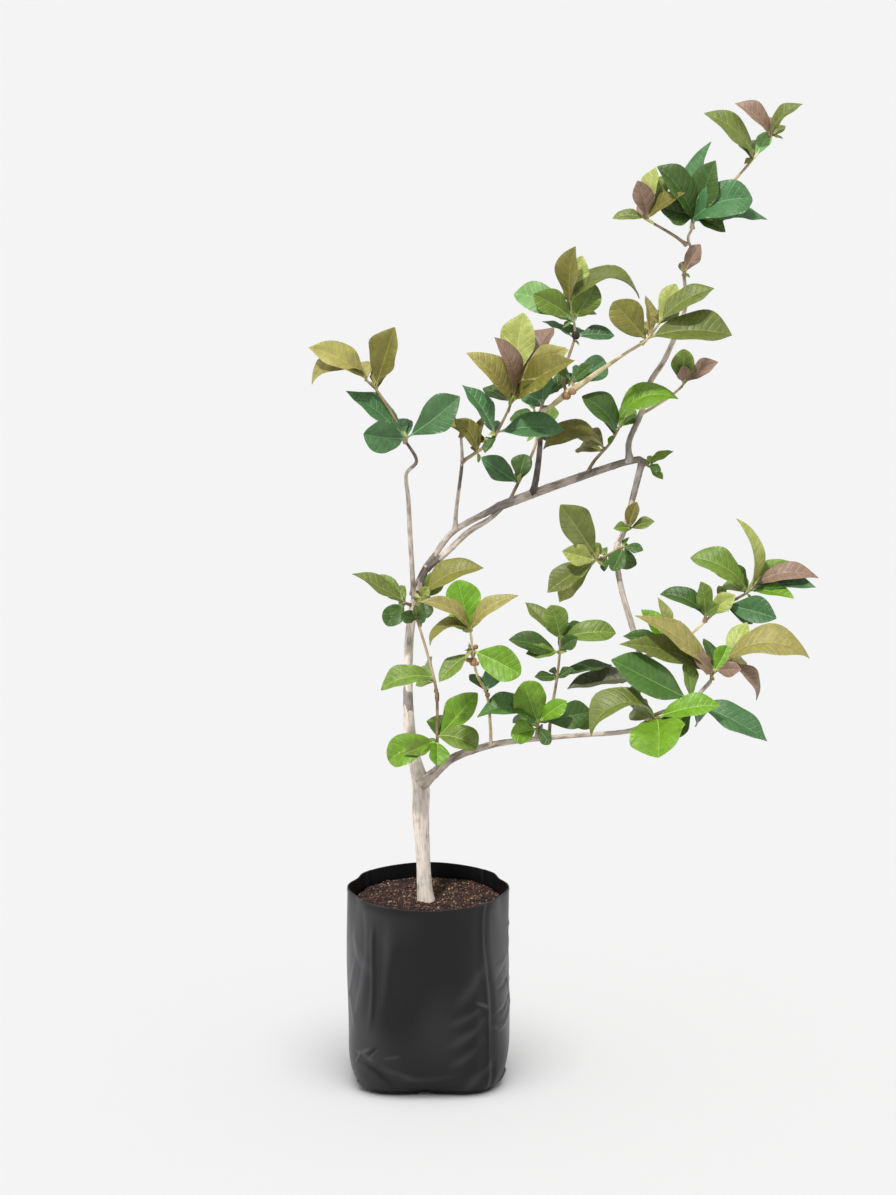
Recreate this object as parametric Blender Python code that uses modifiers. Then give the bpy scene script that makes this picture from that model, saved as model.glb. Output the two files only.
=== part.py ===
"""Potted Mexican hawthorn: a young tree in a black nursery bag, modelled as separate solids.

The tables give real sizes in millimetres. X runs to the right and Z up, as seen from the front,
and Y runs away from the viewer. The origin is the middle of the bag's flat underside.
"""

import math
import random

import bmesh
import bpy
import numpy as np
from mathutils import Vector
from mathutils.bvhtree import BVHTree

MM = 0.001
GAP = 0.3

BAG_RADIUS = 90.0
BAG_FOOT_RADIUS = 74.0
BAG_TURN_HEIGHT = 34.0
BAG_HEIGHT = 219.0
BAG_WALL = 1.2
BAG_SIDES = 32
BAG_RINGS = (0.0, 2.0, 10.0, 34.0, 110.0, 195.0, 219.0)
RIM_DIP = 0.055
RIM_DIP_TURN = 14.0
RIM_DIP_WIDTH = 8.0
SOIL_LEVEL = 201.6
SOIL_DOME = 4.0

FINE_STEP = 0.4
LIMB_STEP = 19.0
STEM_STEP = 18.0
STEM_SIDES = 4
LIMB_SIDES = 6
TRUNK_SIDES = 10
TRUNK_CUT = 202.0
STEM_RADII = (2.0, 1.2)
LEAF_MARGIN = 0.5
LEAF_STEP = 5
BOWED_FROM = 60
BROAD_FROM = 0.42
BROAD_OUTLINE = (1.35, 0.65)
SLIM_OUTLINE = (0.95, 0.85)
BOWED_PLACES = (-0.01, 0.16, 0.36, 0.6, 0.83)
LONG_PLACES = (-0.01, 0.2, 0.5, 0.8)
SHORT_PLACES = (-0.01, 0.35, 0.72)
TURNS_TRIED = (0, 12, -12, 24, -24, 36, -36)

# Each limb: its centre line from the foot to the tip, with the radius at each point.
LIMBS = {
    "trunk": (
        (-2, 0, 202, 10.4), (-4, 0, 220, 8.9), (-6, 1, 262, 8.2), (-8, 2, 300, 9.2),
        (-8, 1, 336, 8.8), (-15, 1, 366, 6.8), (-20, 4, 395, 6.3), (-22, 8, 445, 5.4),
        (-20, 12, 505, 5.1), (-12, 16, 554, 4.6),
    ),
    "arch_bough": (
        (-12, 16, 554, 4.5), (-4, 18, 574, 4.2), (6, 22, 589, 3.6), (28, 26, 617, 3.4),
        (69, 33, 639, 3.8), (88, 36, 647, 4.9), (149, 44, 668, 4.3), (208, 46, 688, 4.0),
        (236, 44, 695, 3.8),
    ),
    "arch_strand": ((-2, 19, 577, 3.3), (19, 22, 593, 3.2), (44, 27, 616, 3.2), (66, 31, 629, 2.7)),
    "left_shoot": (
        (-16, 12, 550, 3.0), (-17, 6, 575, 2.7), (-19, -3, 614, 2.5), (-21, -12, 661, 2.2),
        (-23, -18, 690, 1.9), (-12, -22, 706, 1.8), (-24, -27, 729, 1.7),
    ),
    "leader": (
        (221, 45, 691, 3.8), (220, 43, 714, 3.4), (232, 36, 746, 3.2), (241, 26, 782, 3.0),
        (258, 18, 813, 2.7), (277, 4, 868, 2.1), (275, -8, 907, 1.9), (283, -12, 928, 1.7),
        (278, -16, 946, 1.6), (282, -20, 958, 1.5),
    ),
    "hanging_bough": (
        (236, 44, 695, 3.8), (232, 42, 682, 3.5), (225, 36, 655, 3.3), (214, 24, 617, 3.3),
        (206, 14, 598, 3.4), (211, 2, 560, 3.3), (225, -9, 512, 3.2), (240, -26, 460, 2.7),
    ),
    "front_twig": ((30, 26, 620, 2.7), (31, 18, 643, 2.2), (37, -8, 699, 1.9), (36, -22, 732, 1.4)),
    "knee_bough": ((115, 40, 656, 3.5), (119, 32, 680, 3.2), (122, 22, 713, 2.7), (123, 12, 753, 2.5)),
    "yellow_shoot": (
        (123, 12, 753, 2.5), (134, 10, 760, 2.5), (152, 3, 776, 3.8), (163, -1, 784, 3.2),
        (204, -18, 817, 1.8), (229, -29, 835, 1.6),
    ),
    "low_bough": (
        (-8, 0, 338, 6.3), (6, -4, 350, 5.4), (27, -15, 371, 4.4), (63, -28, 388, 3.6),
        (100, -40, 398, 3.1), (163, -62, 410, 2.6), (219, -83, 421, 2.5), (242, -90, 438, 2.2),
    ),
    "far_low_shoot": (
        (242, -90, 438, 2.2), (252, -88, 443, 2.1), (281, -75, 449, 2.0), (308, -58, 471, 2.3),
    ),
    "far_shoot": ((233, -17, 486, 2.2), (260, -4, 489, 1.8), (289, 12, 505, 1.6), (323, 28, 533, 1.6)),
}

# Each leaf shape: width over length, turn of the blade up from facing the viewer, and bow.
SHAPES = {
    "disc": (1.00, 8, 20),
    "wide": (0.72, 22, 30),
    "round": (0.60, 12, 18),
    "broad": (0.48, 26, 20),
    "oval": (0.44, 42, 25),
    "cupped": (0.52, 46, 105),
    "arched": (0.44, 44, 85),
    "bowed": (0.40, 52, 75),
    "strap": (0.27, 55, 85),
    "blade": (0.27, 55, 45),
    "hooked": (0.40, 61, 125),
    "looped": (0.38, 68, 165),
    "slim": (0.39, 53, 28),
    "edge": (0.40, 67, 22),
    "bud": (0.30, 45, 5),
}

# Each spray: its stem, then its knots. A knot is a place along the stem and a fan of leaves, and a
# leaf is its clock angle from straight up, its lean to the viewer, its length and its shape.
SPRAYS = {
    "top_spray": (
        ((282, -20, 958), (284, -23, 970), (309, -13, 989), (345, 0, 1027), (373, 10, 1060)),
        (
            (0.07, ((17, 15, 80, "oval"), (14, -25, 98, "edge"), (-31, 12, 84, "arched"),
                    (65, 15, 86, "cupped"), (45, -30, 46, "oval"), (88, 5, 80, "edge"),
                    (85, -25, 42, "oval"), (112, 30, 40, "oval"), (-72, 25, 46, "wide"),
                    (-45, -25, 40, "round"), (100, 40, 26, "oval"), (-5, 40, 25, "bud"))),
            (0.72, ((-47, 12, 82, "bowed"), (35, -20, 34, "broad"))),
            (0.93, ((-46, 8, 60, "bowed"), (42, 12, 54, "bowed"), (105, 30, 13, "bud"))),
        ),
    ),
    "side_spray": (
        ((276, -16, 940), (261, -26, 952), (231, -40, 971)),
        ((1.0, ((-16, 15, 48, "broad"), (10, -10, 57, "oval"), (24, -30, 54, "broad"),
                (52, 20, 54, "slim"), (-88, 5, 39, "bowed"))),),
    ),
    "bract_spray": (
        ((275, -8, 906), (273, -20, 910)),
        ((0.8, ((28, 12, 38, "broad"), (-15, 30, 16, "bud"))),),
    ),
    "fork_spray": (
        ((229, -29, 835), (236, -32, 842), (248, -37, 859)),
        (
            (0.3, ((-40, 12, 58, "round"), (86, 10, 98, "arched"), (-5, -20, 46, "slim"))),
            (0.95, ((24, -12, 48, "broad"), (55, 10, 76, "bowed"))),
        ),
    ),
    "mid_top_spray": (
        ((150, 5, 776), (147, 24, 787), (152, 38, 805), (160, 48, 832), (156, 52, 862)),
        (
            (0.68, ((-64, -12, 40, "edge"), (90, -5, 44, "oval"))),
            (0.85, ((-66, -10, 82, "arched"), (-54, 20, 60, "broad"), (30, 20, 50, "round"))),
            (0.92, ((77, 0, 112, "looped"),)),
            (1.0, ((3, 12, 72, "oval"), (12, -10, 58, "broad"))),
        ),
    ),
    "middle_spray": (
        ((37, -9, 702), (66, -22, 725), (75, -29, 739), (88, -41, 769), (97, -49, 797)),
        (
            (0.17, ((-32, 12, 50, "arched"), (10, -5, 40, "slim"))),
            (0.33, ((-85, -40, 28, "oval"),)),
            (0.45, ((-34, -10, 66, "slim"), (-145, 40, 28, "oval"), (86, 12, 74, "oval"))),
            (0.78, ((-38, 15, 86, "bowed"), (50, 30, 102, "slim"), (-70, -35, 40, "oval"))),
            (0.88, ((-18, 20, 80, "bowed"), (50, 8, 66, "edge"))),
            (1.0, ((5, -15, 78, "broad"), (50, 18, 70, "oval"), (56, 0, 66, "oval"),
                   (36, -30, 78, "oval"))),
        ),
    ),
    "knee_spray": (
        ((123, 12, 753), (125, 17, 763), (131, 23, 770)),
        (
            (0.4, ((8, -15, 34, "round"), (-70, -35, 30, "round"))),
            (1.0, ((60, -35, 45, "oval"),)),
        ),
    ),
    "shoulder_spray": (
        ((158, 1, 781), (156, 10, 789)),
        ((0.7, ((58, -25, 46, "round"), (45, 5, 32, "oval"), (-55, -20, 24, "oval"))),),
    ),
    "left_tip_spray": (
        ((-24, -27, 729), (-36, -32, 755), (-52, -38, 783), (-65, -43, 798)),
        (
            (0.82, ((17, 10, 74, "broad"),)),
            (1.0, ((-58, 12, 80, "bowed"), (-92, 10, 82, "looped"))),
        ),
    ),
    "left_node_spray": (
        ((-24, -26, 727), (-22, -34, 734)),
        ((0.8, ((-50, 5, 86, "slim"), (-76, 35, 58, "round"), (50, 10, 76, "broad"))),),
    ),
    "front_tip_spray": (
        ((36, -22, 732), (36, -24, 740)),
        ((0.7, ((-20, 10, 21, "bud"), (30, -10, 14, "bud"), (-60, -55, 24, "broad"))),),
    ),
    "back_spray": (
        ((89, 37, 648), (97, 46, 663), (112, 67, 689), (120, 82, 712), (117, 94, 742)),
        (
            (0.22, ((-52, 15, 54, "broad"), (15, -20, 32, "wide"))),
            (0.75, ((-50, -50, 48, "broad"), (35, -45, 45, "broad"), (100, -40, 40, "broad"))),
            (1.0, ((-20, -20, 46, "broad"), (15, -30, 52, "broad"), (-20, -65, 40, "oval"))),
        ),
    ),
    "right_twig_spray": (
        ((174, 46, 677), (182, 40, 693), (198, 30, 714), (209, 20, 735)),
        (
            (0.5, ((-86, 15, 88, "hooked"),)),
            (0.85, ((-40, 15, 68, "arched"),)),
            (1.0, ((62, 10, 92, "hooked"), (40, -57, 40, "broad"))),
        ),
    ),
    "right_spray": (
        ((232, 36, 746), (246, 44, 752), (269, 55, 765), (284, 61, 779)),
        ((0.92, ((0, 10, 42, "round"), (55, 12, 46, "oval"), (-12, 35, 26, "round"))),),
    ),
    "joint_spray": (
        ((235, 44, 691), (243, 39, 686)),
        ((0.8, ((60, 10, 34, "slim"), (130, 20, 22, "oval"), (95, 50, 20, "broad"))),),
    ),
    "hanging_spray": (
        ((206, 12, 598), (192, 2, 594), (182, -4, 591)),
        (
            (0.5, ((-170, 25, 18, "broad"), (-70, -50, 30, "oval"))),
            (1.0, ((-33, 10, 78, "broad"), (-68, 30, 48, "broad"), (-120, 20, 66, "oval"),
                   (-140, 0, 62, "oval"), (8, 12, 18, "bud"))),
        ),
    ),
    "hanging_side_spray": (
        ((207, 14, 601), (216, 10, 604)),
        ((0.75, ((96, 10, 24, "broad"), (-150, 35, 32, "round"), (168, -25, 32, "round"))),),
    ),
    "hanging_top_spray": (
        ((214, 25, 618), (223, 21, 622)),
        ((0.75, ((16, 10, 34, "broad"), (70, 15, 30, "oval"), (-80, 40, 26, "oval"))),),
    ),
    "left_heart_spray": (
        ((-16, 14, 536), (-24, 6, 541), (-27, -2, 543)),
        (
            (0.6, ((-59, 8, 70, "edge"), (-55, -25, 48, "oval"))),
            (1.0, ((-140, 25, 32, "wide"), (-150, 35, 26, "round"))),
        ),
    ),
    "right_heart_spray": (
        ((-15, 15, 538), (-8, 7, 545), (-4, 0, 551)),
        (
            (0.6, ((38, 10, 44, "broad"), (25, 45, 28, "broad"))),
            (1.0, ((62, 10, 82, "bowed"), (170, 35, 26, "round"))),
        ),
    ),
    "foot_spray": (
        ((14, -9, 362), (11, -18, 381), (10, -24, 400), (10, -35, 442), (6, -38, 471),
         (-8, -18, 516), (-14, -14, 532)),
        (
            (0.2, ((-110, 5, 68, "cupped"), (-100, 35, 46, "oval"), (180, 45, 32, "wide"),
                   (41, -3, 68, "broad"), (102, 15, 56, "cupped"), (65, -50, 36, "oval"))),
            (0.6, ((-98, 12, 72, "hooked"),)),
            (0.98, ((-60, 35, 24, "round"), (60, 50, 20, "round"), (-5, 45, 26, "oval"))),
        ),
    ),
    "centre_spray": (
        ((69, -30, 389), (68, -45, 417), (64, -68, 457), (52, -80, 487), (46, -89, 534)),
        (
            (0.52, ((25, 5, 34, "round"), (-50, -30, 26, "oval"))),
            (0.86, ((-128, 22, 50, "oval"), (112, 22, 60, "round"), (-140, 40, 16, "bud"))),
            (1.0, ((-14, -8, 60, "round"), (50, 10, 76, "strap"), (-56, 15, 76, "strap"),
                   (-70, -40, 38, "oval"), (-106, 15, 62, "looped"))),
        ),
    ),
    "low_mid_spray": (
        ((118, -46, 402), (119, -52, 414), (121, -54, 425)),
        (
            (0.65, ((-95, 30, 34, "wide"), (140, 30, 24, "round"), (-79, 12, 84, "hooked"))),
            (0.95, ((-18, 10, 54, "wide"), (48, 20, 44, "broad"), (82, -10, 60, "broad"),
                    (97, -22, 70, "oval"))),
        ),
    ),
    "right_mid_spray": (
        ((132, -51, 404), (134, -43, 428), (140, -36, 463), (143, -36, 490), (144, -34, 512)),
        (
            (0.6, ((50, 10, 22, "broad"), (-82, 25, 28, "oval"), (82, -10, 62, "edge"))),
            (0.86, ((-72, 10, 60, "oval"), (-88, 20, 40, "oval"), (44, 40, 36, "broad"))),
            (1.0, ((-14, 15, 46, "round"), (-47, -25, 58, "slim"), (82, 5, 66, "arched"),
                   (60, -25, 32, "broad"))),
        ),
    ),
    "long_leaf_spray": (
        ((239, -24, 466), (229, -30, 464)),
        ((0.8, ((-97, 5, 82, "edge"), (-176, -40, 58, "oval"))),),
    ),
    "low_tip_spray": (
        ((240, -89, 434), (244, -97, 438), (248, -101, 440)),
        (
            (0.7, ((-103, 12, 104, "looped"),)),
            (1.0, ((-178, 60, 60, "disc"), (76, 8, 74, "bowed"))),
        ),
    ),
    "low_right_spray": (
        ((283, -74, 450), (285, -82, 454)),
        ((0.75, ((-150, 20, 44, "wide"), (116, 10, 94, "slim"), (-60, 10, 104, "oval"),
                 (-8, -10, 48, "oval"), (165, -45, 50, "oval"))),),
    ),
    "right_top_spray": (
        ((308, -58, 471), (309, -57, 478), (324, -51, 487)),
        (
            (0.35, ((-48, 18, 126, "blade"), (-67, 18, 120, "blade"), (30, -20, 34, "round"),
                    (-45, 40, 48, "oval"), (75, 35, 34, "broad"), (-25, -40, 42, "oval"))),
            (1.0, ((83, 10, 116, "hooked"), (138, 15, 60, "hooked"), (30, -25, 54, "oval"))),
        ),
    ),
    "inner_spray": (
        ((258, -5, 489), (260, -12, 495), (262, -17, 499)),
        (
            (0.7, ((-10, 10, 62, "slim"), (-35, -10, 50, "oval"))),
            (1.0, ((-75, 9, 52, "slim"), (35, -45, 38, "oval"))),
        ),
    ),
    "far_mid_spray": (
        ((304, 19, 517), (305, 16, 527)),
        ((0.7, ((-8, 10, 45, "broad"), (52, 5, 42, "broad"), (-66, -5, 60, "bowed"),
                (35, 50, 36, "oval"))),),
    ),
    "far_spray": (
        ((323, 28, 533), (336, 32, 538), (350, 36, 545), (358, 38, 551)),
        (
            (0.1, ((100, 20, 62, "broad"), (125, 5, 38, "oval"), (-25, -40, 24, "broad"))),
            (0.8, ((-8, 10, 100, "strap"), (-57, 5, 84, "arched"), (-35, 10, 42, "broad"),
                   (90, 40, 60, "edge"))),
            (1.0, ((55, -10, 52, "oval"), (80, 5, 84, "strap"), (86, 12, 72, "slim"))),
        ),
    ),
}


def empty_the_scene():
    for item in list(bpy.data.objects):
        bpy.data.objects.remove(item, do_unlink=True)


def new_collection(name):
    made = bpy.data.collections.new(name)
    bpy.context.scene.collection.children.link(made)
    return made


def new_material(name, colour, roughness):
    made = bpy.data.materials.new(name)
    made.use_nodes = True
    shader = made.node_tree.nodes["Principled BSDF"]
    shader.inputs["Base Color"].default_value = (*colour, 1.0)
    shader.inputs["Roughness"].default_value = roughness
    shader.inputs["Metallic"].default_value = 0.0
    return made


def mesh_object(name, mesh, collection):
    made = bpy.data.objects.new(name, mesh)
    collection.objects.link(made)
    return made


def bag_ring(height, inset):
    """One ring round the bag, squarish at the foot and round at the rim, drawn in by inset."""
    rise = min(height / BAG_TURN_HEIGHT, 1.0)
    half = BAG_FOOT_RADIUS + (BAG_RADIUS - BAG_FOOT_RADIUS) * math.sqrt(1 - (1 - rise) ** 2)
    share = height / BAG_HEIGHT
    power = 2.0 + 2.6 * (1.0 - share) ** 2
    ring = []
    for step in range(BAG_SIDES):
        turn = 2 * math.pi * step / BAG_SIDES
        across = abs(math.cos(turn)) ** power + abs(math.sin(turn)) ** power
        radius = half / across ** (1 / power)
        off_side = math.degrees(math.asin(min(1.0, abs(math.sin(turn)))))
        dip = RIM_DIP * math.exp(-(((off_side - RIM_DIP_TURN) / RIM_DIP_WIDTH) ** 2))
        radius = radius * (1 - dip * share**5) - inset
        ring.append((radius * math.cos(turn) * MM, radius * math.sin(turn) * MM, height * MM))
    return ring


def loft(rings, name, close_top):
    """Joins rings of equal length into one skin, with a flat face below and, if asked, above."""
    mesh = bpy.data.meshes.new(name)
    shape = bmesh.new()
    rows = [[shape.verts.new(point) for point in ring] for ring in rings]
    count = len(rows[0])
    for low, high in zip(rows, rows[1:]):
        for i in range(count):
            j = (i + 1) % count
            shape.faces.new((low[i], low[j], high[j], high[i]))
    shape.faces.new(list(reversed(rows[0])))
    if close_top:
        shape.faces.new(rows[-1])
    shape.to_mesh(mesh)
    shape.free()
    return mesh


def make_bag(collection):
    rings = [bag_ring(height, 0.0) for height in BAG_RINGS]
    bag = mesh_object("bag", loft(rings, "bag", False), collection)
    wall = bag.modifiers.new("wall", "SOLIDIFY")
    wall.thickness = BAG_WALL * MM
    wall.offset = -1.0
    wall.use_even_offset = True
    return bag


def make_soil(collection):
    inset = BAG_WALL + GAP + 0.6
    floor = BAG_WALL + GAP
    top = SOIL_LEVEL - SOIL_DOME
    heights = [height for height in BAG_RINGS if 8.0 <= height < top] + [top]
    foot = [(x, y, floor * MM) for x, y, z in bag_ring(0.0, 3.0)]
    rings = [foot] + [bag_ring(height, inset) for height in heights]
    edge = rings[-1]
    for share, height in ((0.85, top + 2.8), (0.4, SOIL_LEVEL)):
        rings.append([(x * share, y * share, height * MM) for x, y, z in edge])
    return mesh_object("soil", loft(rings, "soil", True), collection)


def smooth_path(points, step):
    """Points along a Catmull-Rom curve through the given ones, about one step apart."""
    given = np.array(points, dtype=float)
    given = np.vstack([2 * given[0] - given[1], given, 2 * given[-1] - given[-2]])
    made = []
    for a, b, c, d in zip(given, given[1:], given[2:], given[3:]):
        count = max(1, int(round(np.linalg.norm((c - b)[:3]) / step)))
        for k in range(count):
            t = k / count
            made.append(
                0.5 * (2 * b + (c - a) * t + (2 * a - 5 * b + 4 * c - d) * t**2
                       + (3 * b - a - 3 * c + d) * t**3)
            )
    made.append(given[-2])
    return np.array(made)


def heading(path, index):
    """The way a finely stepped path leaves a point, over the length of one coarse step."""
    reach = int(STEM_STEP / FINE_STEP)
    ahead = path[min(index + reach, len(path) - 1)][:3] - path[index][:3]
    return ahead / np.linalg.norm(ahead)


def rim_points(centre, tangent, radius):
    """The middle, eight points part of the way out and eight on the rim of a cut across a limb."""
    side = np.cross(tangent, (0.0, 1.0, 0.0))
    side /= np.linalg.norm(side)
    other = np.cross(tangent, side)
    turns = np.arange(8) * math.pi / 4
    ring = radius * (np.outer(np.cos(turns), side) + np.outer(np.sin(turns), other))
    return np.vstack([centre, centre + 0.6 * ring, centre + ring])


def is_clear(points, limbs):
    """True where every point is a gap away from the limbs, each a run of flat-ended cylinders."""
    for path in limbs:
        start, run = path[:-1, :3], np.diff(path[:, :3], axis=0)
        length = np.linalg.norm(run, axis=1)
        away = points[:, None, :] - start[None]
        along = np.einsum("ijk,jk->ij", away, run) / length
        radial = np.sqrt(np.maximum(np.sum(away**2, axis=2) - along**2, 0.0))
        radius = np.maximum(path[:-1, 3], path[1:, 3])
        inside = (radial < radius + GAP) & (along > -GAP) & (along < length + GAP)
        if inside.any():
            return False
    return True


def clear_start(path, limbs):
    """Cuts a finely stepped path where its flat foot first stands clear of the limbs."""
    for index in range(len(path) - 2):
        if is_clear(rim_points(path[index][:3], heading(path, index), path[index][3]), limbs):
            return path[index:]
    return path


def coarser(path, step):
    """Keeps a path's ends and the points about one step apart between them."""
    travelled = np.concatenate([[0], np.cumsum(np.linalg.norm(np.diff(path[:, :3], axis=0), axis=1))])
    count = max(2, int(round(travelled[-1] / step)) + 1)
    wanted = np.linspace(0, travelled[-1], count)
    return np.column_stack([np.interp(wanted, travelled, path[:, k]) for k in range(4)])


def point_along(path, share):
    """The point at a share of the way along a path with even steps."""
    place = share * (len(path) - 1)
    return np.array([np.interp(place, range(len(path)), path[:, k]) for k in range(3)])


def tube_object(name, path, sides, collection):
    """A tapering closed tube along a path, from a bevelled curve made into a mesh."""
    curve = bpy.data.curves.new(name, "CURVE")
    curve.dimensions = "3D"
    curve.bevel_depth = MM
    curve.bevel_resolution = (sides - 4) // 2
    curve.use_fill_caps = True
    line = curve.splines.new("POLY")
    line.points.add(len(path) - 1)
    for point, (x, y, z, radius) in zip(line.points, path):
        point.co = (x * MM, y * MM, z * MM, 1.0)
        point.radius = radius
    guide = mesh_object(name + "_curve", curve, collection)
    depsgraph = bpy.context.evaluated_depsgraph_get()
    mesh = bpy.data.meshes.new_from_object(guide.evaluated_get(depsgraph))
    bpy.data.objects.remove(guide, do_unlink=True)
    shape = bmesh.new()
    shape.from_mesh(mesh)
    bmesh.ops.remove_doubles(shape, verts=shape.verts, dist=0.00001)
    bmesh.ops.recalc_face_normals(shape, faces=shape.faces)
    shape.to_mesh(mesh)
    shape.free()
    mesh.name = name
    mesh.materials.clear()
    return mesh_object(name, mesh, collection)


def cut_flat(mesh):
    """Sets the lowest ring of the trunk level, at its cut just above the soil."""
    for vertex in mesh.vertices:
        if vertex.co.z < (TRUNK_CUT + 3.0) * MM:
            vertex.co.z = TRUNK_CUT * MM


def leaf_sections(base, clock, lean, length, shape, luck, margin):
    """The rows of corners across one leaf, from its foot in the stem to just short of its tip.

    The midrib is an arc in the plane of its chord and the blade's normal. The chord points by the
    clock angle and the lean, and the normal is turned up from the viewer by the shape's own turn.
    """
    ratio, face, bow = SHAPES[shape]
    face = math.radians(face + luck.uniform(-6, 6))
    bow = math.radians(bow * luck.uniform(0.85, 1.15))
    clock, lean = math.radians(clock), math.radians(lean)
    chord = np.array(
        (math.sin(clock) * math.cos(lean), -math.sin(lean), math.cos(clock) * math.cos(lean))
    )
    viewer = np.array((0.0, -1.0, 0.0))
    viewer -= chord * np.dot(viewer, chord)
    viewer /= np.linalg.norm(viewer)
    upward = np.cross(chord, viewer)
    if math.sin(clock) >= 0:
        upward = -upward
    normal = math.cos(face) * viewer + math.sin(face) * upward
    side = np.cross(chord, normal)
    if SHAPES[shape][2] > BOWED_FROM:
        places = BOWED_PLACES
    else:
        places = LONG_PLACES if length > 52 else SHORT_PLACES
    power, blunt = BROAD_OUTLINE if ratio > BROAD_FROM else SLIM_OUTLINE
    width, thick = ratio * length, max(0.9, length / 90)
    stalk = 0.7 + length / 140
    rows = []
    for place in places + (1.0,):
        turn = bow * (0.5 - place)
        across = length / bow * (math.sin(bow / 2) - math.sin(turn))
        rise = length / bow * (math.cos(turn) - math.cos(bow / 2))
        centre = base + across * chord + rise * normal
        here = math.cos(turn) * normal - math.sin(turn) * chord
        open_share = max(0.0, (place - 0.1) / 0.9)
        half = stalk + (width / 2 - stalk / 2) * math.sin(math.pi * open_share**power) ** blunt
        fold = 0.3 * (half - stalk) * here
        half += margin
        deep = thick / 2 + margin
        rows.append(
            (centre - half * side + fold, centre - deep * here, centre + half * side + fold,
             centre + deep * here)
        )
        if place == 1.0:
            rows[-1] = centre
    return rows


def leaf_mesh(rows):
    mesh = bpy.data.meshes.new("leaf")
    shape = bmesh.new()
    rings = [[shape.verts.new(Vector(corner) * MM) for corner in row] for row in rows[:-1]]
    tip = shape.verts.new(Vector(rows[-1]) * MM)
    for low, high in zip(rings, rings[1:]):
        for i in range(4):
            j = (i + 1) % 4
            shape.faces.new((low[i], low[j], high[j], high[i]))
    for i in range(4):
        shape.faces.new((rings[-1][i], rings[-1][(i + 1) % 4], tip))
    shape.faces.new(list(reversed(rings[0])))
    bmesh.ops.triangulate(shape, faces=shape.faces)
    bmesh.ops.recalc_face_normals(shape, faces=shape.faces)
    shape.to_mesh(mesh)
    shape.free()
    return mesh


def mesh_tree(mesh):
    mesh.calc_loop_triangles()
    corners = [tuple(vertex.co) for vertex in mesh.vertices]
    return BVHTree.FromPolygons(corners, [tuple(t.vertices) for t in mesh.loop_triangles])


def clear_leaf(base, row, luck, taken):
    """The leaf as drawn, or turned a little where it would touch; nothing where that fails."""
    clock, lean, length, shape = row
    draw = luck.random()
    for turn in TURNS_TRIED:
        wider = leaf_mesh(
            leaf_sections(base, clock, lean + turn, length, shape, random.Random(draw), LEAF_MARGIN)
        )
        tree = mesh_tree(wider)
        bpy.data.meshes.remove(wider)
        if not any(tree.overlap(other) for other in taken):
            rows = leaf_sections(base, clock, lean + turn, length, shape, random.Random(draw), 0.0)
            return leaf_mesh(rows)
    return None


def keep_main_skin(mesh):
    """Fills sealed hollows and drops loose scrap by keeping only the largest closed skin."""
    shape = bmesh.new()
    shape.from_mesh(mesh)
    left = set(shape.verts)
    skins = []
    while left:
        front = [left.pop()]
        skin = set(front)
        while front:
            for edge in front.pop().link_edges:
                fresh = left.intersection(edge.verts)
                left -= fresh
                skin |= fresh
                front += fresh
        skins.append(skin)
    skins.sort(key=len)
    for skin in skins[:-1]:
        bmesh.ops.delete(shape, geom=list(skin), context="VERTS")
    shape.to_mesh(mesh)
    shape.free()


def make_spray(name, stem, knots, limbs, taken, collection):
    """One mass: a stem that starts clear of the limbs, with its leaves joined to it."""
    luck = random.Random(name)
    stem_points = np.array(stem, dtype=float)
    radii = np.linspace(*STEM_RADII, len(stem))
    whole = smooth_path(np.column_stack([stem_points, radii]), FINE_STEP)
    path = clear_start(whole, limbs)
    stem_path = coarser(path, STEM_STEP)
    limbs.append(stem_path)
    spray = tube_object(name, stem_path, STEM_SIDES, collection)
    cut = len(whole) - len(path)
    pieces = bpy.data.collections.new(name + "_leaves")
    for place, fan in knots:
        for rank, row in enumerate(fan):
            wanted = place * (len(whole) - 1) - cut + (rank - (len(fan) - 1) / 2) * LEAF_STEP
            share = min(max(wanted, 5), len(path) - 5) / (len(path) - 1)
            leaf = clear_leaf(point_along(stem_path, share), row, luck, taken)
            if leaf is not None:
                mesh_object(name + "_leaf", leaf, pieces)
    join = spray.modifiers.new("join", "BOOLEAN")
    join.operation = "UNION"
    join.operand_type = "COLLECTION"
    join.collection = pieces
    join.solver = "EXACT"
    bpy.context.scene.collection.children.link(pieces)
    depsgraph = bpy.context.evaluated_depsgraph_get()
    joined = bpy.data.meshes.new_from_object(spray.evaluated_get(depsgraph))
    spray.modifiers.clear()
    keep_main_skin(joined)
    spray.data = joined
    for item in list(pieces.objects):
        bpy.data.objects.remove(item, do_unlink=True)
    bpy.data.collections.remove(pieces)
    return spray


def shade_smooth(item, degrees):
    item.data.shade_smooth()
    item.data.set_sharp_from_angle(angle=math.radians(degrees))


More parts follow.
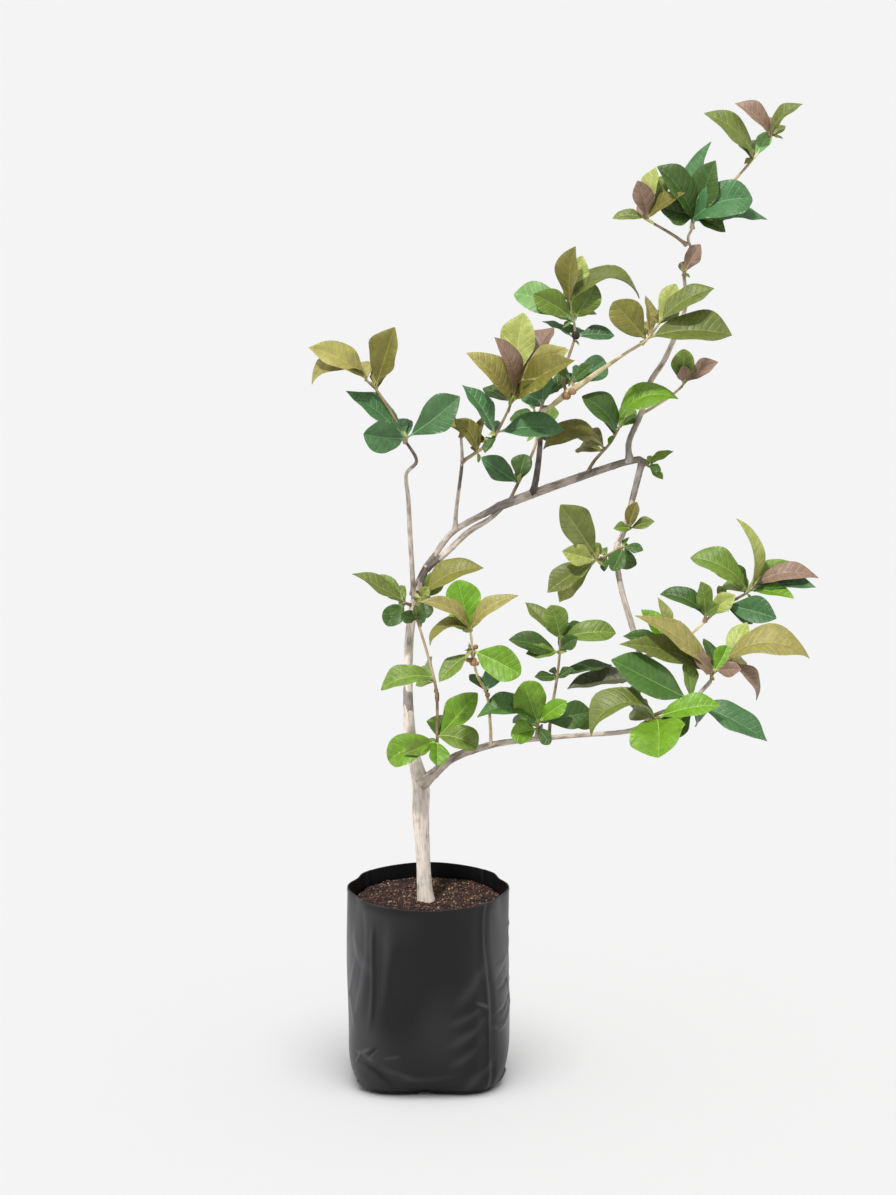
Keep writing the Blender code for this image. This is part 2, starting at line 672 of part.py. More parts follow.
def main():
    empty_the_scene()
    plant = new_collection("potted_mexican_hawthorn")
    film = new_material("black_film", (0.02, 0.02, 0.021), 0.35)
    earth = new_material("potting_soil", (0.06, 0.03, 0.02), 0.95)
    bark = new_material("bark", (0.5, 0.44, 0.38), 0.85)
    foliage = new_material("foliage", (0.16, 0.32, 0.07), 0.5)

    bag = make_bag(plant)
    bag.data.materials.append(film)
    shade_smooth(bag, 40)
    soil = make_soil(plant)
    soil.data.materials.append(earth)
    shade_smooth(soil, 40)

    limbs = []
    taken = [mesh_tree(soil.data), mesh_tree(bag.data)]
    for name, points in LIMBS.items():
        path = clear_start(smooth_path(points, FINE_STEP), limbs)
        path = coarser(path, LIMB_STEP)
        limbs.append(path)
        limb = tube_object(name, path, TRUNK_SIDES if name == "trunk" else LIMB_SIDES, plant)
        if name == "trunk":
            cut_flat(limb.data)
        limb.data.materials.append(bark)
        shade_smooth(limb, 50)
        taken.append(mesh_tree(limb.data))

    for name, (stem, knots) in SPRAYS.items():
        spray = make_spray(name, stem, knots, limbs, taken, plant)
        spray.data.materials.clear()
        spray.data.materials.append(foliage)
        shade_smooth(spray, 30)
        taken.append(mesh_tree(spray.data))


main()
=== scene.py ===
import math
import random

import bpy
import numpy as np
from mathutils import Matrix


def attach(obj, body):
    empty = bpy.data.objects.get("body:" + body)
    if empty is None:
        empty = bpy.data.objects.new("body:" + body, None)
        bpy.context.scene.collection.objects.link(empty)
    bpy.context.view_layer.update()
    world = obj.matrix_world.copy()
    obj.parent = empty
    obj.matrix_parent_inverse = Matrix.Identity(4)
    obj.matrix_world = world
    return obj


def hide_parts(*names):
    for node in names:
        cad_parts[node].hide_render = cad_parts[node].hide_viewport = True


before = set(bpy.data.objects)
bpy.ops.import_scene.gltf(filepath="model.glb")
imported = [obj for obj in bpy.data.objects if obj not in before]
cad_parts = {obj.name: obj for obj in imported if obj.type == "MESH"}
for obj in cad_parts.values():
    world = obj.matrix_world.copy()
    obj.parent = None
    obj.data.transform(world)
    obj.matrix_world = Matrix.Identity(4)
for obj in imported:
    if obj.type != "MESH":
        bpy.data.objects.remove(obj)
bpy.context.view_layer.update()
mm = 0.001
# what the lights shine on or are blocked by: the potted tree, the floor, and the bag by itself
groups = {name: bpy.data.collections.new(name) for name in ("plant", "paper", "pot")}
print("hawthorn: frame loaded,", len(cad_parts), "solids")


# Helpers for colours, nodes and meshes

def linear(hexText):
    # sRGB channel c becomes c / 12.92 up to 0.04045, and ((c + 0.055) / 1.055) ** 2.4 above it
    parts = [int(hexText[i:i + 2], 16) / 255 for i in (1, 3, 5)]
    return tuple(c / 12.92 if c <= 0.04045 else ((c + 0.055) / 1.055) ** 2.4 for c in parts) + (1.0,)


def setInputs(tree, node, inputs):
    # a socket given as a value is linked, any other value is set
    for socket, value in inputs.items():
        if isinstance(value, bpy.types.NodeSocket):
            tree.links.new(value, node.inputs[socket])
        else:
            node.inputs[socket].default_value = value


def addNode(tree, kind, inputs=None, **settings):
    node = tree.nodes.new(kind)
    for key, value in settings.items():
        setattr(node, key, value)
    setInputs(tree, node, inputs or {})
    return node


def newMaterial(name, hexText, roughness, ior=1.45):
    # paper, soil, bark and leaf wax all bend light by about 1.45
    made = bpy.data.materials.new(name)
    made.use_nodes = True
    tree = made.node_tree
    shader = tree.nodes["Principled BSDF"]
    setInputs(tree, shader, {"Base Color": linear(hexText), "Roughness": roughness, "IOR": ior})
    return made, tree, shader


def ringSkin(grid, slots, grain, startPole=None, endPole=None):
    # a grid of rings, each anticlockwise about the way they travel, closed by a pole at both ends
    rows, around = grid.shape[:2]
    startPole = grid[0].mean(axis=0) if startPole is None else startPole
    endPole = grid[-1].mean(axis=0) if endPole is None else endPole
    ring = np.arange(around)
    ahead = np.roll(ring, -1)
    low = (np.arange(rows - 1) * around)[:, None]
    quads = np.stack([low + ring, low + ahead, low + around + ahead, low + around + ring], axis=-1)
    last = (rows - 1) * around
    foot = np.stack([ahead, ring, np.full(around, rows * around)], axis=-1)
    top = np.stack([last + ring, last + ahead, np.full(around, rows * around + 1)], axis=-1)
    slots = np.broadcast_to(slots, (rows - 1, around))
    return {
        "points": np.vstack([grid.reshape(-1, 3), startPole[None], endPole[None]]),
        "quads": quads.reshape(-1, 4),
        "triangles": np.vstack([foot, top]),
        "quadSlots": slots.reshape(-1),
        "triangleSlots": np.concatenate([slots[0], slots[-1]]),
        "grain": np.vstack([grain.reshape(-1, 3), grain[0].mean(axis=0), grain[-1].mean(axis=0)]),
    }


def makePiece(name, skins, materials, nodes, sharpAngle):
    # joins the skins, which are in millimetres, into one mesh by laying their arrays end to end
    points = np.vstack([skin["points"] for skin in skins]) * mm
    starts = np.cumsum([0] + [len(skin["points"]) for skin in skins[:-1]])
    quads = np.vstack([skin["quads"] + start for skin, start in zip(skins, starts)]).astype(np.int32)
    triangles = np.vstack([skin["triangles"] + start for skin, start in zip(skins, starts)])
    triangles = triangles.astype(np.int32)
    slots = [skin["quadSlots"] for skin in skins] + [skin["triangleSlots"] for skin in skins]
    sizes = np.concatenate([np.full(len(quads), 4), np.full(len(triangles), 3)])
    loopStarts = np.concatenate([[0], np.cumsum(sizes)[:-1]])
    mesh = bpy.data.meshes.new(name)
    mesh.vertices.add(len(points))
    mesh.vertices.foreach_set("co", points.ravel())
    mesh.loops.add(int(sizes.sum()))
    mesh.loops.foreach_set("vertex_index", np.concatenate([quads.ravel(), triangles.ravel()]))
    mesh.polygons.add(len(sizes))
    mesh.polygons.foreach_set("loop_start", loopStarts.astype(np.int32))
    mesh.polygons.foreach_set("material_index", np.concatenate(slots).astype(np.int32))
    mesh.update(calc_edges=True)
    # where a pattern runs on the piece: along and across its surface, or how much painted sheen the film has
    grain = np.vstack([skin["grain"] for skin in skins]) * mm
    mesh.attributes.new("grain", "FLOAT_VECTOR", "POINT").data.foreach_set("vector", grain.ravel())
    for material in materials:
        mesh.materials.append(material)
    mesh.shade_smooth()
    mesh.set_sharp_from_angle(angle=math.radians(sharpAngle))
    item = bpy.data.objects.new(name, mesh)
    bpy.context.scene.collection.objects.link(item)
    groups["plant"].objects.link(item)
    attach(item, "root")
    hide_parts(*nodes)
    print("hawthorn:", name, len(quads) * 2 + len(triangles), "triangles")
    return item


def waves(points, size, count, seed):
    # a sum of sine waves of about one length in seeded directions, from -1 to 1 or so
    luck = np.random.default_rng(seed)
    made = np.zeros(points.shape[:-1])
    for _ in range(count):
        way = luck.normal(size=3)
        way *= 2 * math.pi / (np.linalg.norm(way) * size * luck.uniform(0.7, 1.4))
        made += np.sin(points @ way + luck.uniform(0, 2 * math.pi))
    return made / math.sqrt(count)


# Camera, light and floor

# the photo's view: what the camera looks at and from how far, in metres, and its angle and lens
view = {"target": (0.022, 0.0, 0.549), "distance": 4.5, "elevation": 13.5, "lens": 124.1}
light = {
    # the sky's strength at the horizon and overhead, and the band of heights between them
    "sky": "#f2f2f2", "skyLow": 1.0, "skyHigh": 0.36, "skyBand": (0.12, 0.38),
    "floor": "#f1f1f1", "floorReach": 60.0,
    # suns: name, where it shines from, strength, angle, what it shines on and what casts its shadow
    "suns": (
        ("key", (-0.3, -0.66, 1.0), 3.2, 4, "plant", "plant"),
        ("ceiling", (0.0, 0.0, 1.0), 1.35, 60, "plant", "plant"),
        ("left", (-1.0, -0.2, 0.22), 0.9, 40, "plant", "plant"),
        ("right", (1.0, -0.2, 0.22), 0.8, 40, "plant", "plant"),
        ("table", (0.0, -0.3, 1.0), 2.22, 54, "paper", "pot"),
    ),
}


def makeCamera():
    camera = bpy.data.cameras.new("photoCamera")
    camera.lens = view["lens"]
    item = bpy.data.objects.new("photoCamera", camera)
    bpy.context.scene.collection.objects.link(item)
    turn = math.radians(view["elevation"])
    x, y, z = view["target"]
    item.location = (x, y - view["distance"] * math.cos(turn), z + view["distance"] * math.sin(turn))
    item.rotation_euler = (math.radians(90) - turn, 0, 0)
    bpy.context.scene.camera = item


def makeLight():
    # a soft sky, pale at the horizon; on the plant a broad ceiling light, a low broad light at each
    # side and a small high key; on the paper a light from above that keeps only the bag's soft shadow
    world = bpy.data.worlds.new("paleSky")
    bpy.context.scene.world = world
    world.use_nodes = True
    tree = world.node_tree
    # the way out of the scene, whose Z runs from the horizon at 0 to straight up at 1
    way = addNode(tree, "ShaderNodeTexCoord")
    cut = addNode(tree, "ShaderNodeSeparateXYZ", {"Vector": way.outputs["Generated"]})
    low, high = light["skyBand"]
    fade = addNode(
        tree, "ShaderNodeMapRange",
        {"Value": cut.outputs["Z"], "From Min": low, "From Max": high,
         "To Min": light["skyLow"], "To Max": light["skyHigh"]},
    )
    sky = {"Color": linear(light["sky"]), "Strength": fade.outputs["Result"]}
    setInputs(tree, tree.nodes["Background"], sky)
    for name, (x, y, z), strength, angle, lit, blocking in light["suns"]:
        sun = bpy.data.lights.new(name, "SUN")
        sun.energy = strength
        sun.angle = math.radians(angle)
        item = bpy.data.objects.new(name, sun)
        bpy.context.scene.collection.objects.link(item)
        item.rotation_euler = (math.atan2(math.hypot(x, y), z), 0, math.atan2(x, -y))
        item.light_linking.receiver_collection = groups[lit]
        item.light_linking.blocker_collection = groups[blocking]
    bpy.context.scene.view_settings.view_transform = "Standard"


def makeFloor():
    # uncoated paper sheet, smooth and chalky: no highlight, and no mirror image of the bag
    material, tree, shader = newMaterial("matt paper, uncoated", light["floor"], 0.95)
    setInputs(tree, shader, {"Specular IOR Level": 0.1})
    reach = light["floorReach"]
    mesh = bpy.data.meshes.new("floor")
    corners = [(-reach, -reach, 0), (reach, -reach, 0), (reach, reach, 0), (-reach, reach, 0)]
    mesh.from_pydata(corners, [], [(0, 1, 2, 3)])
    mesh.materials.append(material)
    floor = bpy.data.objects.new("floor", mesh)
    bpy.context.scene.collection.objects.link(floor)
    groups["paper"].objects.link(floor)


makeCamera()
makeLight()
makeFloor()
print("hawthorn: camera, light and floor")


# Bag: a nursery bag of blown black film, round at the rim and squarish at the foot

bag = {
    "radius": 90.0, "footRadius": 71.0, "turnHeight": 44.0, "height": 219.0, "wall": 1.2,
    "around": 512, "dimple": 16.67, "glossPatch": 71.4,
    # dips of the rim beside its two ends, behind and in front: depth, turn and width in degrees
    "dipBehind": (0.062, 20, 11), "dipFront": (0.04, 22, 12),
    "tuck": 6.5, "tuckHeight": 16.0,  # how far the foot's front and back draw in
    # the lifted stretch of the lower edge: turn, height, width in degrees
    "lifted": (267, 2.2, 4.5),
    # upright gusset creases: turn in degrees, top and bottom height, depth
    "creases": ((228, 182, 88, 1.3), (313, 219, 12, 2.0), (44, 219, 60, 1.6), (138, 219, 75, 1.5)),
    # wrinkles: turn, height, slope in degrees, half length, half width, depth, bend
    "wrinkles": (
        (333, 76, 22, 24, 3.2, 1.6, 0.012), (333, 93, 18, 20, 3.0, -1.2, 0.012),
        (329, 143, 28, 18, 3.4, 1.3, -0.012), (334, 120, 20, 18, 3.6, -1.1, 0.008),
        (309, 104, -28, 10, 1.7, 1.2, 0.0), (300, 96, 22, 22, 4.2, 1.1, 0.0),
        (300, 76, 30, 26, 5.0, 1.3, 0.0), (298, 52, 36, 22, 4.4, 1.0, 0.0),
        (305, 28, 45, 22, 4.6, 1.4, -0.010), (302, 130, 48, 26, 6.0, 1.0, 0.0),
        (222, 150, 86, 62, 4.6, 1.3, 0.002), (240, 150, 87, 46, 6.4, 1.2, 0.0),
        (214, 156, -48, 26, 5.0, 1.1, 0.008), (208, 95, -60, 24, 5.0, 1.1, 0.0),
        (225, 50, 20, 9, 1.5, 1.5, 0.020), (229, 46, -25, 9, 1.4, 1.4, 0.0),
        (222, 44, 60, 8, 1.4, 1.4, 0.0), (232, 52, 50, 8, 1.5, -1.2, 0.0),
        (246, 49, 12, 8, 1.6, 1.1, 0.0), (236, 31, -35, 20, 3.0, -1.2, -0.010),
        (250, 30, -20, 18, 2.8, 1.0, 0.0), (205, 120, 75, 30, 3.4, 0.8, 0.0),
        (345, 104, -72, 30, 3.4, 0.8, 0.0), (268, 24, 3, 32, 3.0, 0.8, 0.002),
    ),
    # the two folded corners at the foot: three corners, anticlockwise, in degrees and height
    "flaps": (((211, 3), (231, 3), (215, 13)), ((322, 3), (341, 5), (338, 20)),
              ((34, 7), (50, 8), (40, 25)), ((130, 7), (148, 10), (141, 24))),
    "flapRise": 2.4, "flapEdge": 1.6,
    "looseWrinkles": 30,  # small ones at seeded places, besides those of the photo
}


def bagRadius(turn, height):
    # a squarish ring of power 2 to 3.8 with a quarter-ellipse foot, pinched beside the rim's two ends;
    # its foot is up to 5 mm slacker than the solid's, as the film sags there
    rise = np.clip(height / bag["turnHeight"], 0, 1)
    half = bag["footRadius"] + (bag["radius"] - bag["footRadius"]) * np.sqrt(1 - (1 - rise) ** 2)
    share = height / bag["height"]
    power = 2 + 1.8 * (1 - share) ** 2
    radius = half / (np.abs(np.cos(turn)) ** power + np.abs(np.sin(turn)) ** power) ** (1 / power)
    offSide = np.degrees(np.arcsin(np.clip(np.abs(np.sin(turn)), 0, 1)))
    pulls = [
        depth * np.exp(-(((offSide - middle) / width) ** 2))
        for depth, middle, width in (bag["dipBehind"], bag["dipFront"])
    ]
    pull = np.where(np.sin(turn) > 0, pulls[0], pulls[1])
    tuck = bag["tuck"] * np.exp(-((height / bag["tuckHeight"]) ** 2)) * np.abs(np.sin(turn)) ** 8
    return radius * (1 - pull * share**5) - tuck


def flapRelief(degrees, height, corners):
    # a folded triangle of film: rise * the distance inside its nearest edge / the edge's width, up to 1
    reach = math.radians(1) * bag["footRadius"]
    spots = [(turn * reach, level) for turn, level in corners]
    inside = np.full(np.broadcast(degrees, height).shape, 99.0)
    for (x1, z1), (x2, z2) in zip(spots, spots[1:] + spots[:1]):
        away = (x2 - x1) * (height - z1) - (z2 - z1) * (degrees * reach - x1)
        inside = np.minimum(inside, away / math.hypot(x2 - x1, z2 - z1))
    return bag["flapRise"] * np.clip(inside / bag["flapEdge"], 0, 1)


def filmRelief(turn, height):
    # creases, short wrinkles and slow waves: each is depth * exp(-(distance across / width) ** 2)
    relief = np.zeros(np.broadcast(turn, height).shape)
    degrees = np.degrees(turn) % 360
    for corners in bag["flaps"]:
        relief += flapRelief(degrees, height, corners)
    for middle, top, foot, depth in bag["creases"]:
        off = (degrees - middle + 180) % 360 - 180 + 1.2 * np.sin(height / 23)
        reach = 1 / (1 + np.exp(-(height - foot) / 7)) / (1 + np.exp((height - top - 6) / 4))
        # a ridge with a hollow on either side of it
        relief += reach * depth * (0.8 * np.exp(-((off / 1.3) ** 2)) - np.exp(-(((off - 3.4) / 2.4) ** 2)))
        relief -= reach * depth * 0.35 * np.exp(-(((off + 5) / 3.5) ** 2))
    luck = np.random.default_rng(7)
    seeded = [
        (luck.uniform(-10, 190), luck.uniform(25, 200), luck.uniform(-80, 80), luck.uniform(10, 26),
         luck.uniform(1.8, 3.2), luck.uniform(0.3, 0.9), 0.0)
        for _ in range(bag["looseWrinkles"])
    ]
    for middle, level, slope, length, width, depth, bend in list(bag["wrinkles"]) + seeded:
        aside = ((degrees - middle + 180) % 360 - 180) * math.radians(1) * bag["radius"]
        above = height - level
        slope = math.radians(slope)
        along = aside * math.cos(slope) + above * math.sin(slope)
        off = above * math.cos(slope) - aside * math.sin(slope) - bend * along**2
        relief += depth * np.exp(-((off / width) ** 2)) * np.exp(-((along / length) ** 4))
    slow = np.sin(3 * turn + 0.8) * np.sin(height / 31) + 0.6 * np.sin(5 * turn + height / 40)
    middle = np.sin(np.pi * np.clip(height / bag["height"], 0, 1)) ** 0.5
    return relief + 0.9 * slow * middle


def filmWear(turn, height, film):
    # painted sheen, 0 to 1: paler on the gussets between their creases, where the bag's two sides catch
    # light, fading towards the foot, plus painted highlights on the ridges of the relief and the folded
    # corners, and little of any of it in the top 10 mm, where the film is smooth
    degrees = np.degrees(turn) % 360
    right = 1 / (1 + np.exp(-(degrees - 313.5) / 0.7)) + 1 / (1 + np.exp((degrees - 44) / 3))
    left = np.exp(-(((degrees - 192) / 42) ** 4))
    low = 0.45 + 0.55 * np.clip((height - 12) / 60, 0, 1)
    folded = sum(flapRelief(degrees, height, corners) for corners in bag["flaps"]) / bag["flapRise"]
    paintedSheen = np.clip(0.42 * (right + left) * low + 0.24 * np.clip(film, -0.9, 2.4) + 0.5 * folded, 0, 1)
    return paintedSheen * (1 - 0.85 * np.clip((height - 207) / 8, 0, 1))


def filmMaterial():
    # black polyethylene blown into a tube: satin, its gloss changing over patches, faintly dimpled, with
    # painted sheen, paler, on the gussets at the bag's two sides and painted highlights on the ridges of its
    # folds
    made, tree, shader = newMaterial("polyethylene film, blown and gusseted", "#0d0d0f", 0.34, 1.51)
    place = addNode(tree, "ShaderNodeTexCoord")
    dimples = addNode(
        tree, "ShaderNodeTexNoise",
        {"Vector": place.outputs["Object"], "Scale": 1 / (bag["dimple"] * mm), "Detail": 4.0},
    )
    patches = addNode(
        tree, "ShaderNodeTexNoise",
        {"Vector": place.outputs["Object"], "Scale": 1 / (bag["glossPatch"] * mm), "Detail": 3.0},
    )
    gloss = addNode(
        tree, "ShaderNodeMapRange",
        {"Value": patches.outputs["Fac"], "From Min": 0.3, "From Max": 0.7, "To Min": 0.3, "To Max": 0.46},
    )
    grain = addNode(tree, "ShaderNodeAttribute", attribute_name="grain")
    sheenAmount = addNode(tree, "ShaderNodeSeparateXYZ", {"Vector": grain.outputs["Vector"]})
    # base colour from the film's black up to a grey of painted sheen, by the painted sheen amount
    tone = addNode(tree, "ShaderNodeValToRGB", {"Fac": sheenAmount.outputs["X"]})
    tone.color_ramp.elements[0].color = linear("#0b0b0d")
    tone.color_ramp.elements[1].color = linear("#464648")
    bump = addNode(
        tree, "ShaderNodeBump", {"Height": dimples.outputs["Fac"], "Strength": 0.22, "Distance": 0.0012}
    )
    setInputs(tree, shader, {
        "Base Color": tone.outputs["Color"], "Roughness": gloss.outputs["Result"],
        "Normal": bump.outputs["Normal"], "Specular IOR Level": 0.27,
    })
    return made


def makeBag():
    # rings from the middle of the underside, up the outside to the rim and down the inside
    turn = np.linspace(0, 2 * math.pi, bag["around"], endpoint=False)[None, :]
    outer = np.concatenate([np.linspace(0, 1, 26) ** 1.6 * 34, np.linspace(36, bag["height"], 120)])
    inner = np.concatenate([np.linspace(bag["height"], 186, 22), np.linspace(160, 3, 7)])
    height = np.concatenate([[0, 0], outer, inner, [bag["wall"]]])[:, None]
    inset = np.concatenate([np.zeros(2 + len(outer)), np.full(len(inner) + 1, bag["wall"])])[:, None]
    outside = inset == 0
    share = np.ones_like(height)
    share[:2, 0] = (0.5, 0.93)
    share[-1] = 0.5
    film = filmRelief(turn, height)
    fade = np.clip(height / 9, 0, 1) * (1 - 0.75 * np.clip((height - 205) / 14, 0, 1))
    radius = (bagRadius(turn, height) + film * fade) * share - inset
    # the rolled edge of the film at the rim, and the welded seam over a hollow at the foot
    hem = 0.5 * np.exp(-(((height - 216.5) / 1.6) ** 2)) * outside
    seam = 1.0 * np.exp(-(((height - 1.4) / 1.5) ** 2)) - 1.3 * np.exp(-(((height - 5.4) / 1.9) ** 2))
    radius = radius + hem + seam * outside * share
    wave = 0.4 * np.sin(5 * turn) * np.clip((height - 190) / 29, 0, 1)
    middle, lift, width = bag["lifted"]
    lift = lift * np.exp(-(((np.degrees(turn) - middle) / width) ** 2)) * np.exp(-((height / 7) ** 2))
    level = height + wave + lift * share**8 * outside
    grid = np.stack([radius * np.cos(turn), radius * np.sin(turn), level], axis=-1)
    ends = np.array([0.0, 0.0, 0.0]), np.array([0.0, 0.0, bag["wall"]])
    # painted sheen, on the outside of the film only, carried to the shader in the grain attribute's X
    paintedSheen = filmWear(turn, height, film) * outside
    skin = ringSkin(grid, 0, np.stack([paintedSheen, 0 * paintedSheen, 0 * paintedSheen], -1) / mm, *ends)
    groups["pot"].objects.link(makePiece("nursery_bag", [skin], [filmMaterial()], ["bag"], 50))


makeBag()
print("hawthorn: bag")


# Soil: a lumpy bed with crumbs laid on it

soil = {
    # height in the middle, how far the edge is lower, how far the back edge is banked up again, and
    # how far the edge is inside the bag's outer face
    "level": 203.6, "dome": 6.0, "bank": 4.5, "gap": 2.0,
    "grit": 2.381, "patch": 11.11,  # size of the bed's grains and of its darker patches
    # crumbs: how many, their smallest radius, how much larger they get, and the share of each kind
    "crumbs": 4200, "least": 0.5, "more": 1.0, "kinds": (0.42, 0.03, 0.35, 0.2),
}


def soilTop(turn, share):
    # height of the soil: a low dome, banked up at the back, with lumps; share is 1 at the edge
    edge = soil["level"] - soil["dome"]
    dome = soil["dome"] * np.sqrt(np.clip(1 - share**2, 0, 1))
    dome = dome + soil["bank"] * share**2 * np.clip(np.sin(turn), 0, 1)
    radius = (bagRadius(turn, 200.0) - soil["gap"]) * share
    points = np.stack([radius * np.cos(turn), radius * np.sin(turn), 0 * radius], axis=-1)
    lumps = 0.9 * waves(points, 21, 5, 3) + 0.5 * waves(points, 7, 6, 4)
    points[..., 2] = edge + dome + lumps - 0.7
    return points


def soilMaterials():
    # potting mix: matt and crumbly, near black where moist, with a few pale, rusty and dry bits in it
    made, tree, shader = newMaterial("potting mix of composted bark and peat", "#472b20", 0.95)
    place = addNode(tree, "ShaderNodeTexCoord")
    grit = addNode(
        tree, "ShaderNodeTexVoronoi", {"Vector": place.outputs["Object"], "Scale": 1 / (soil["grit"] * mm)}
    )
    shade = addNode(
        tree, "ShaderNodeTexNoise",
        {"Vector": place.outputs["Object"], "Scale": 1 / (soil["patch"] * mm), "Detail": 5.0},
    )
    ramp = addNode(tree, "ShaderNodeValToRGB", {"Fac": shade.outputs["Fac"]})
    ramp.color_ramp.elements[0].position = 0.35
    ramp.color_ramp.elements[0].color = linear("#150c08")
    ramp.color_ramp.elements[1].position = 0.68
    ramp.color_ramp.elements[1].color = linear("#38241b")
    bump = addNode(tree, "ShaderNodeBump", {"Height": grit.outputs["Distance"], "Distance": 0.002})
    setInputs(tree, shader, {"Base Color": ramp.outputs["Color"], "Normal": bump.outputs["Normal"]})
    return [
        made,
        newMaterial("perlite and chips of pale wood", "#ab927a", 0.9)[0],
        newMaterial("red-brown bark crumbs", "#523629", 0.9)[0],
        newMaterial("dry brown husk crumbs", "#7a5c4a", 0.9)[0],
    ]


def makeSoilBed(materials):
    turn = np.linspace(0, 2 * math.pi, 180, endpoint=False)[None, :]
    top = soilTop(turn, np.linspace(1, 0.02, 60)[:, None] * np.ones_like(turn))
    wall = np.repeat(top[:1], 2, axis=0)
    wall[0, :, 2] = 150
    wall[1, :, 2] = 185
    grid = np.concatenate([wall, top])
    makePiece("soil_bed", [ringSkin(grid, 0, grid)], materials[:1], ["soil"], 180)


def makeCrumbs(materials):
    # a twenty-sided lump of radius 1 is stretched, turned and laid on the soil for each crumb
    golden = (1 + math.sqrt(5)) / 2
    lump = np.array([(0, a, b * golden) for a in (-1, 1) for b in (-1, 1)]
                    + [(a, b * golden, 0) for a in (-1, 1) for b in (-1, 1)]
                    + [(b * golden, 0, a) for a in (-1, 1) for b in (-1, 1)]) / 1.9
    away = np.linalg.norm(lump[:, None] - lump[None], axis=-1)
    near = (away < 1.2) & (away > 0)
    faces = [(i, j, k) for i in range(12) for j in range(i + 1, 12) for k in range(j + 1, 12)
             if near[i, j] and near[j, k] and near[i, k]]
    faces = np.array([
        (i, j, k) if np.dot(np.cross(lump[j] - lump[i], lump[k] - lump[i]), lump[i]) > 0 else (i, k, j)
        for i, j, k in faces
    ])
    count = soil["crumbs"]
    luck = np.random.default_rng(11)
    turn = luck.uniform(0, 2 * math.pi, count)
    points = soilTop(turn, np.sqrt(luck.uniform(0.0, 0.97, count)))
    size = soil["least"] + soil["more"] * luck.random(count) ** 2.0
    stretch = luck.uniform(0.65, 1.35, (count, 1, 3)) * size[:, None, None]
    # a turn of its own for each crumb, as a unit quaternion and the matrix that it gives
    spin = luck.normal(size=(count, 4))
    spin /= np.linalg.norm(spin, axis=1, keepdims=True)
    w, x, y, z = spin.T
    turnBy = np.stack([
        np.stack([1 - 2 * (y * y + z * z), 2 * (x * y - w * z), 2 * (x * z + w * y)], -1),
        np.stack([2 * (x * y + w * z), 1 - 2 * (x * x + z * z), 2 * (y * z - w * x)], -1),
        np.stack([2 * (x * z - w * y), 2 * (y * z + w * x), 1 - 2 * (x * x + y * y)], -1),
    ], 1)
    bumpy = lump[None] * stretch * luck.uniform(0.85, 1.15, (count, 12, 1))
    made = np.einsum("nij,nkj->nki", turnBy, bumpy) + points[:, None]
    kind = luck.choice(len(materials), count, p=soil["kinds"])
    skin = {
        "points": made.reshape(-1, 3), "grain": made.reshape(-1, 3),
        "quads": np.zeros((0, 4), int), "quadSlots": np.zeros(0, int),
        "triangles": (faces[None] + 12 * np.arange(count)[:, None, None]).reshape(-1, 3),
        "triangleSlots": np.repeat(kind, len(faces)),
    }
    makePiece("soil_crumbs", [skin], materials, ["soil"], 25)


mixes = soilMaterials()
makeSoilBed(mixes)
makeCrumbs(mixes)
print("hawthorn: soil")


# Wood: the limbs' centre lines and radii in millimetres, the same as the solids have

limbs = {
    "trunk": (
        (-2, 0, 202, 10.4), (-4, 0, 220, 8.9), (-6, 1, 262, 8.2), (-8, 2, 300, 9.2),
        (-8, 1, 336, 8.8), (-15, 1, 366, 6.8), (-20, 4, 395, 6.3), (-22, 8, 445, 5.4),
        (-20, 12, 505, 5.1), (-12, 16, 554, 4.6),
    ),
    "arch_bough": (
        (-12, 16, 554, 4.5), (-4, 18, 574, 4.2), (6, 22, 589, 3.6), (28, 26, 617, 3.4),
        (69, 33, 639, 3.8), (88, 36, 647, 4.9), (149, 44, 668, 4.3), (208, 46, 688, 4.0),
        (236, 44, 695, 3.8),
    ),
    "arch_strand": (
        (-2, 19, 577, 3.3), (19, 22, 593, 3.2), (44, 27, 616, 3.2), (66, 31, 629, 2.7),
        (82, 35, 642, 2.4), (92, 37, 648, 1.6),
    ),
    "left_shoot": (
        (-16, 12, 550, 3.0), (-17, 6, 575, 2.7), (-19, -3, 614, 2.5), (-21, -12, 661, 2.2),
        (-23, -18, 690, 1.9), (-12, -22, 706, 1.8), (-24, -27, 729, 1.7),
    ),
    "leader": (
        (221, 45, 691, 3.8), (220, 43, 714, 3.4), (232, 36, 746, 3.2), (241, 26, 782, 3.0),
        (258, 18, 813, 2.7), (277, 4, 868, 2.1), (275, -8, 907, 1.9), (283, -12, 928, 1.7),
        (278, -16, 946, 1.6), (282, -20, 958, 1.5),
    ),
    "hanging_bough": (
        (236, 44, 695, 3.8), (232, 42, 682, 3.5), (225, 36, 655, 3.3), (214, 24, 617, 3.3),
        (206, 14, 598, 3.4), (211, 2, 560, 3.3), (225, -9, 512, 3.2), (240, -26, 460, 2.7),
    ),
    "front_twig": ((30, 26, 620, 2.7), (31, 18, 643, 2.2), (37, -8, 699, 1.9), (36, -22, 732, 1.4)),
    "knee_bough": ((115, 40, 656, 3.5), (119, 32, 680, 3.2), (122, 22, 713, 2.7), (123, 12, 753, 2.5)),
    "yellow_shoot": (
        (123, 12, 753, 2.5), (134, 10, 760, 2.5), (152, 3, 776, 3.8), (163, -1, 784, 3.2),
        (204, -18, 817, 1.8), (229, -29, 835, 1.6),
    ),
    "low_bough": (
        (-8, 0, 338, 6.3), (6, -4, 350, 5.4), (27, -15, 371, 4.4), (63, -28, 388, 3.6),
        (100, -40, 398, 3.1), (163, -62, 410, 2.6), (219, -83, 421, 2.5), (242, -90, 438, 2.2),
    ),
    "far_low_shoot": (
        (242, -90, 438, 2.2), (252, -88, 443, 2.1), (281, -75, 449, 2.0), (308, -58, 471, 2.3),
    ),
    "far_shoot": ((233, -17, 486, 2.2), (260, -4, 489, 1.8), (289, 12, 505, 1.6), (323, 28, 533, 1.6)),
}
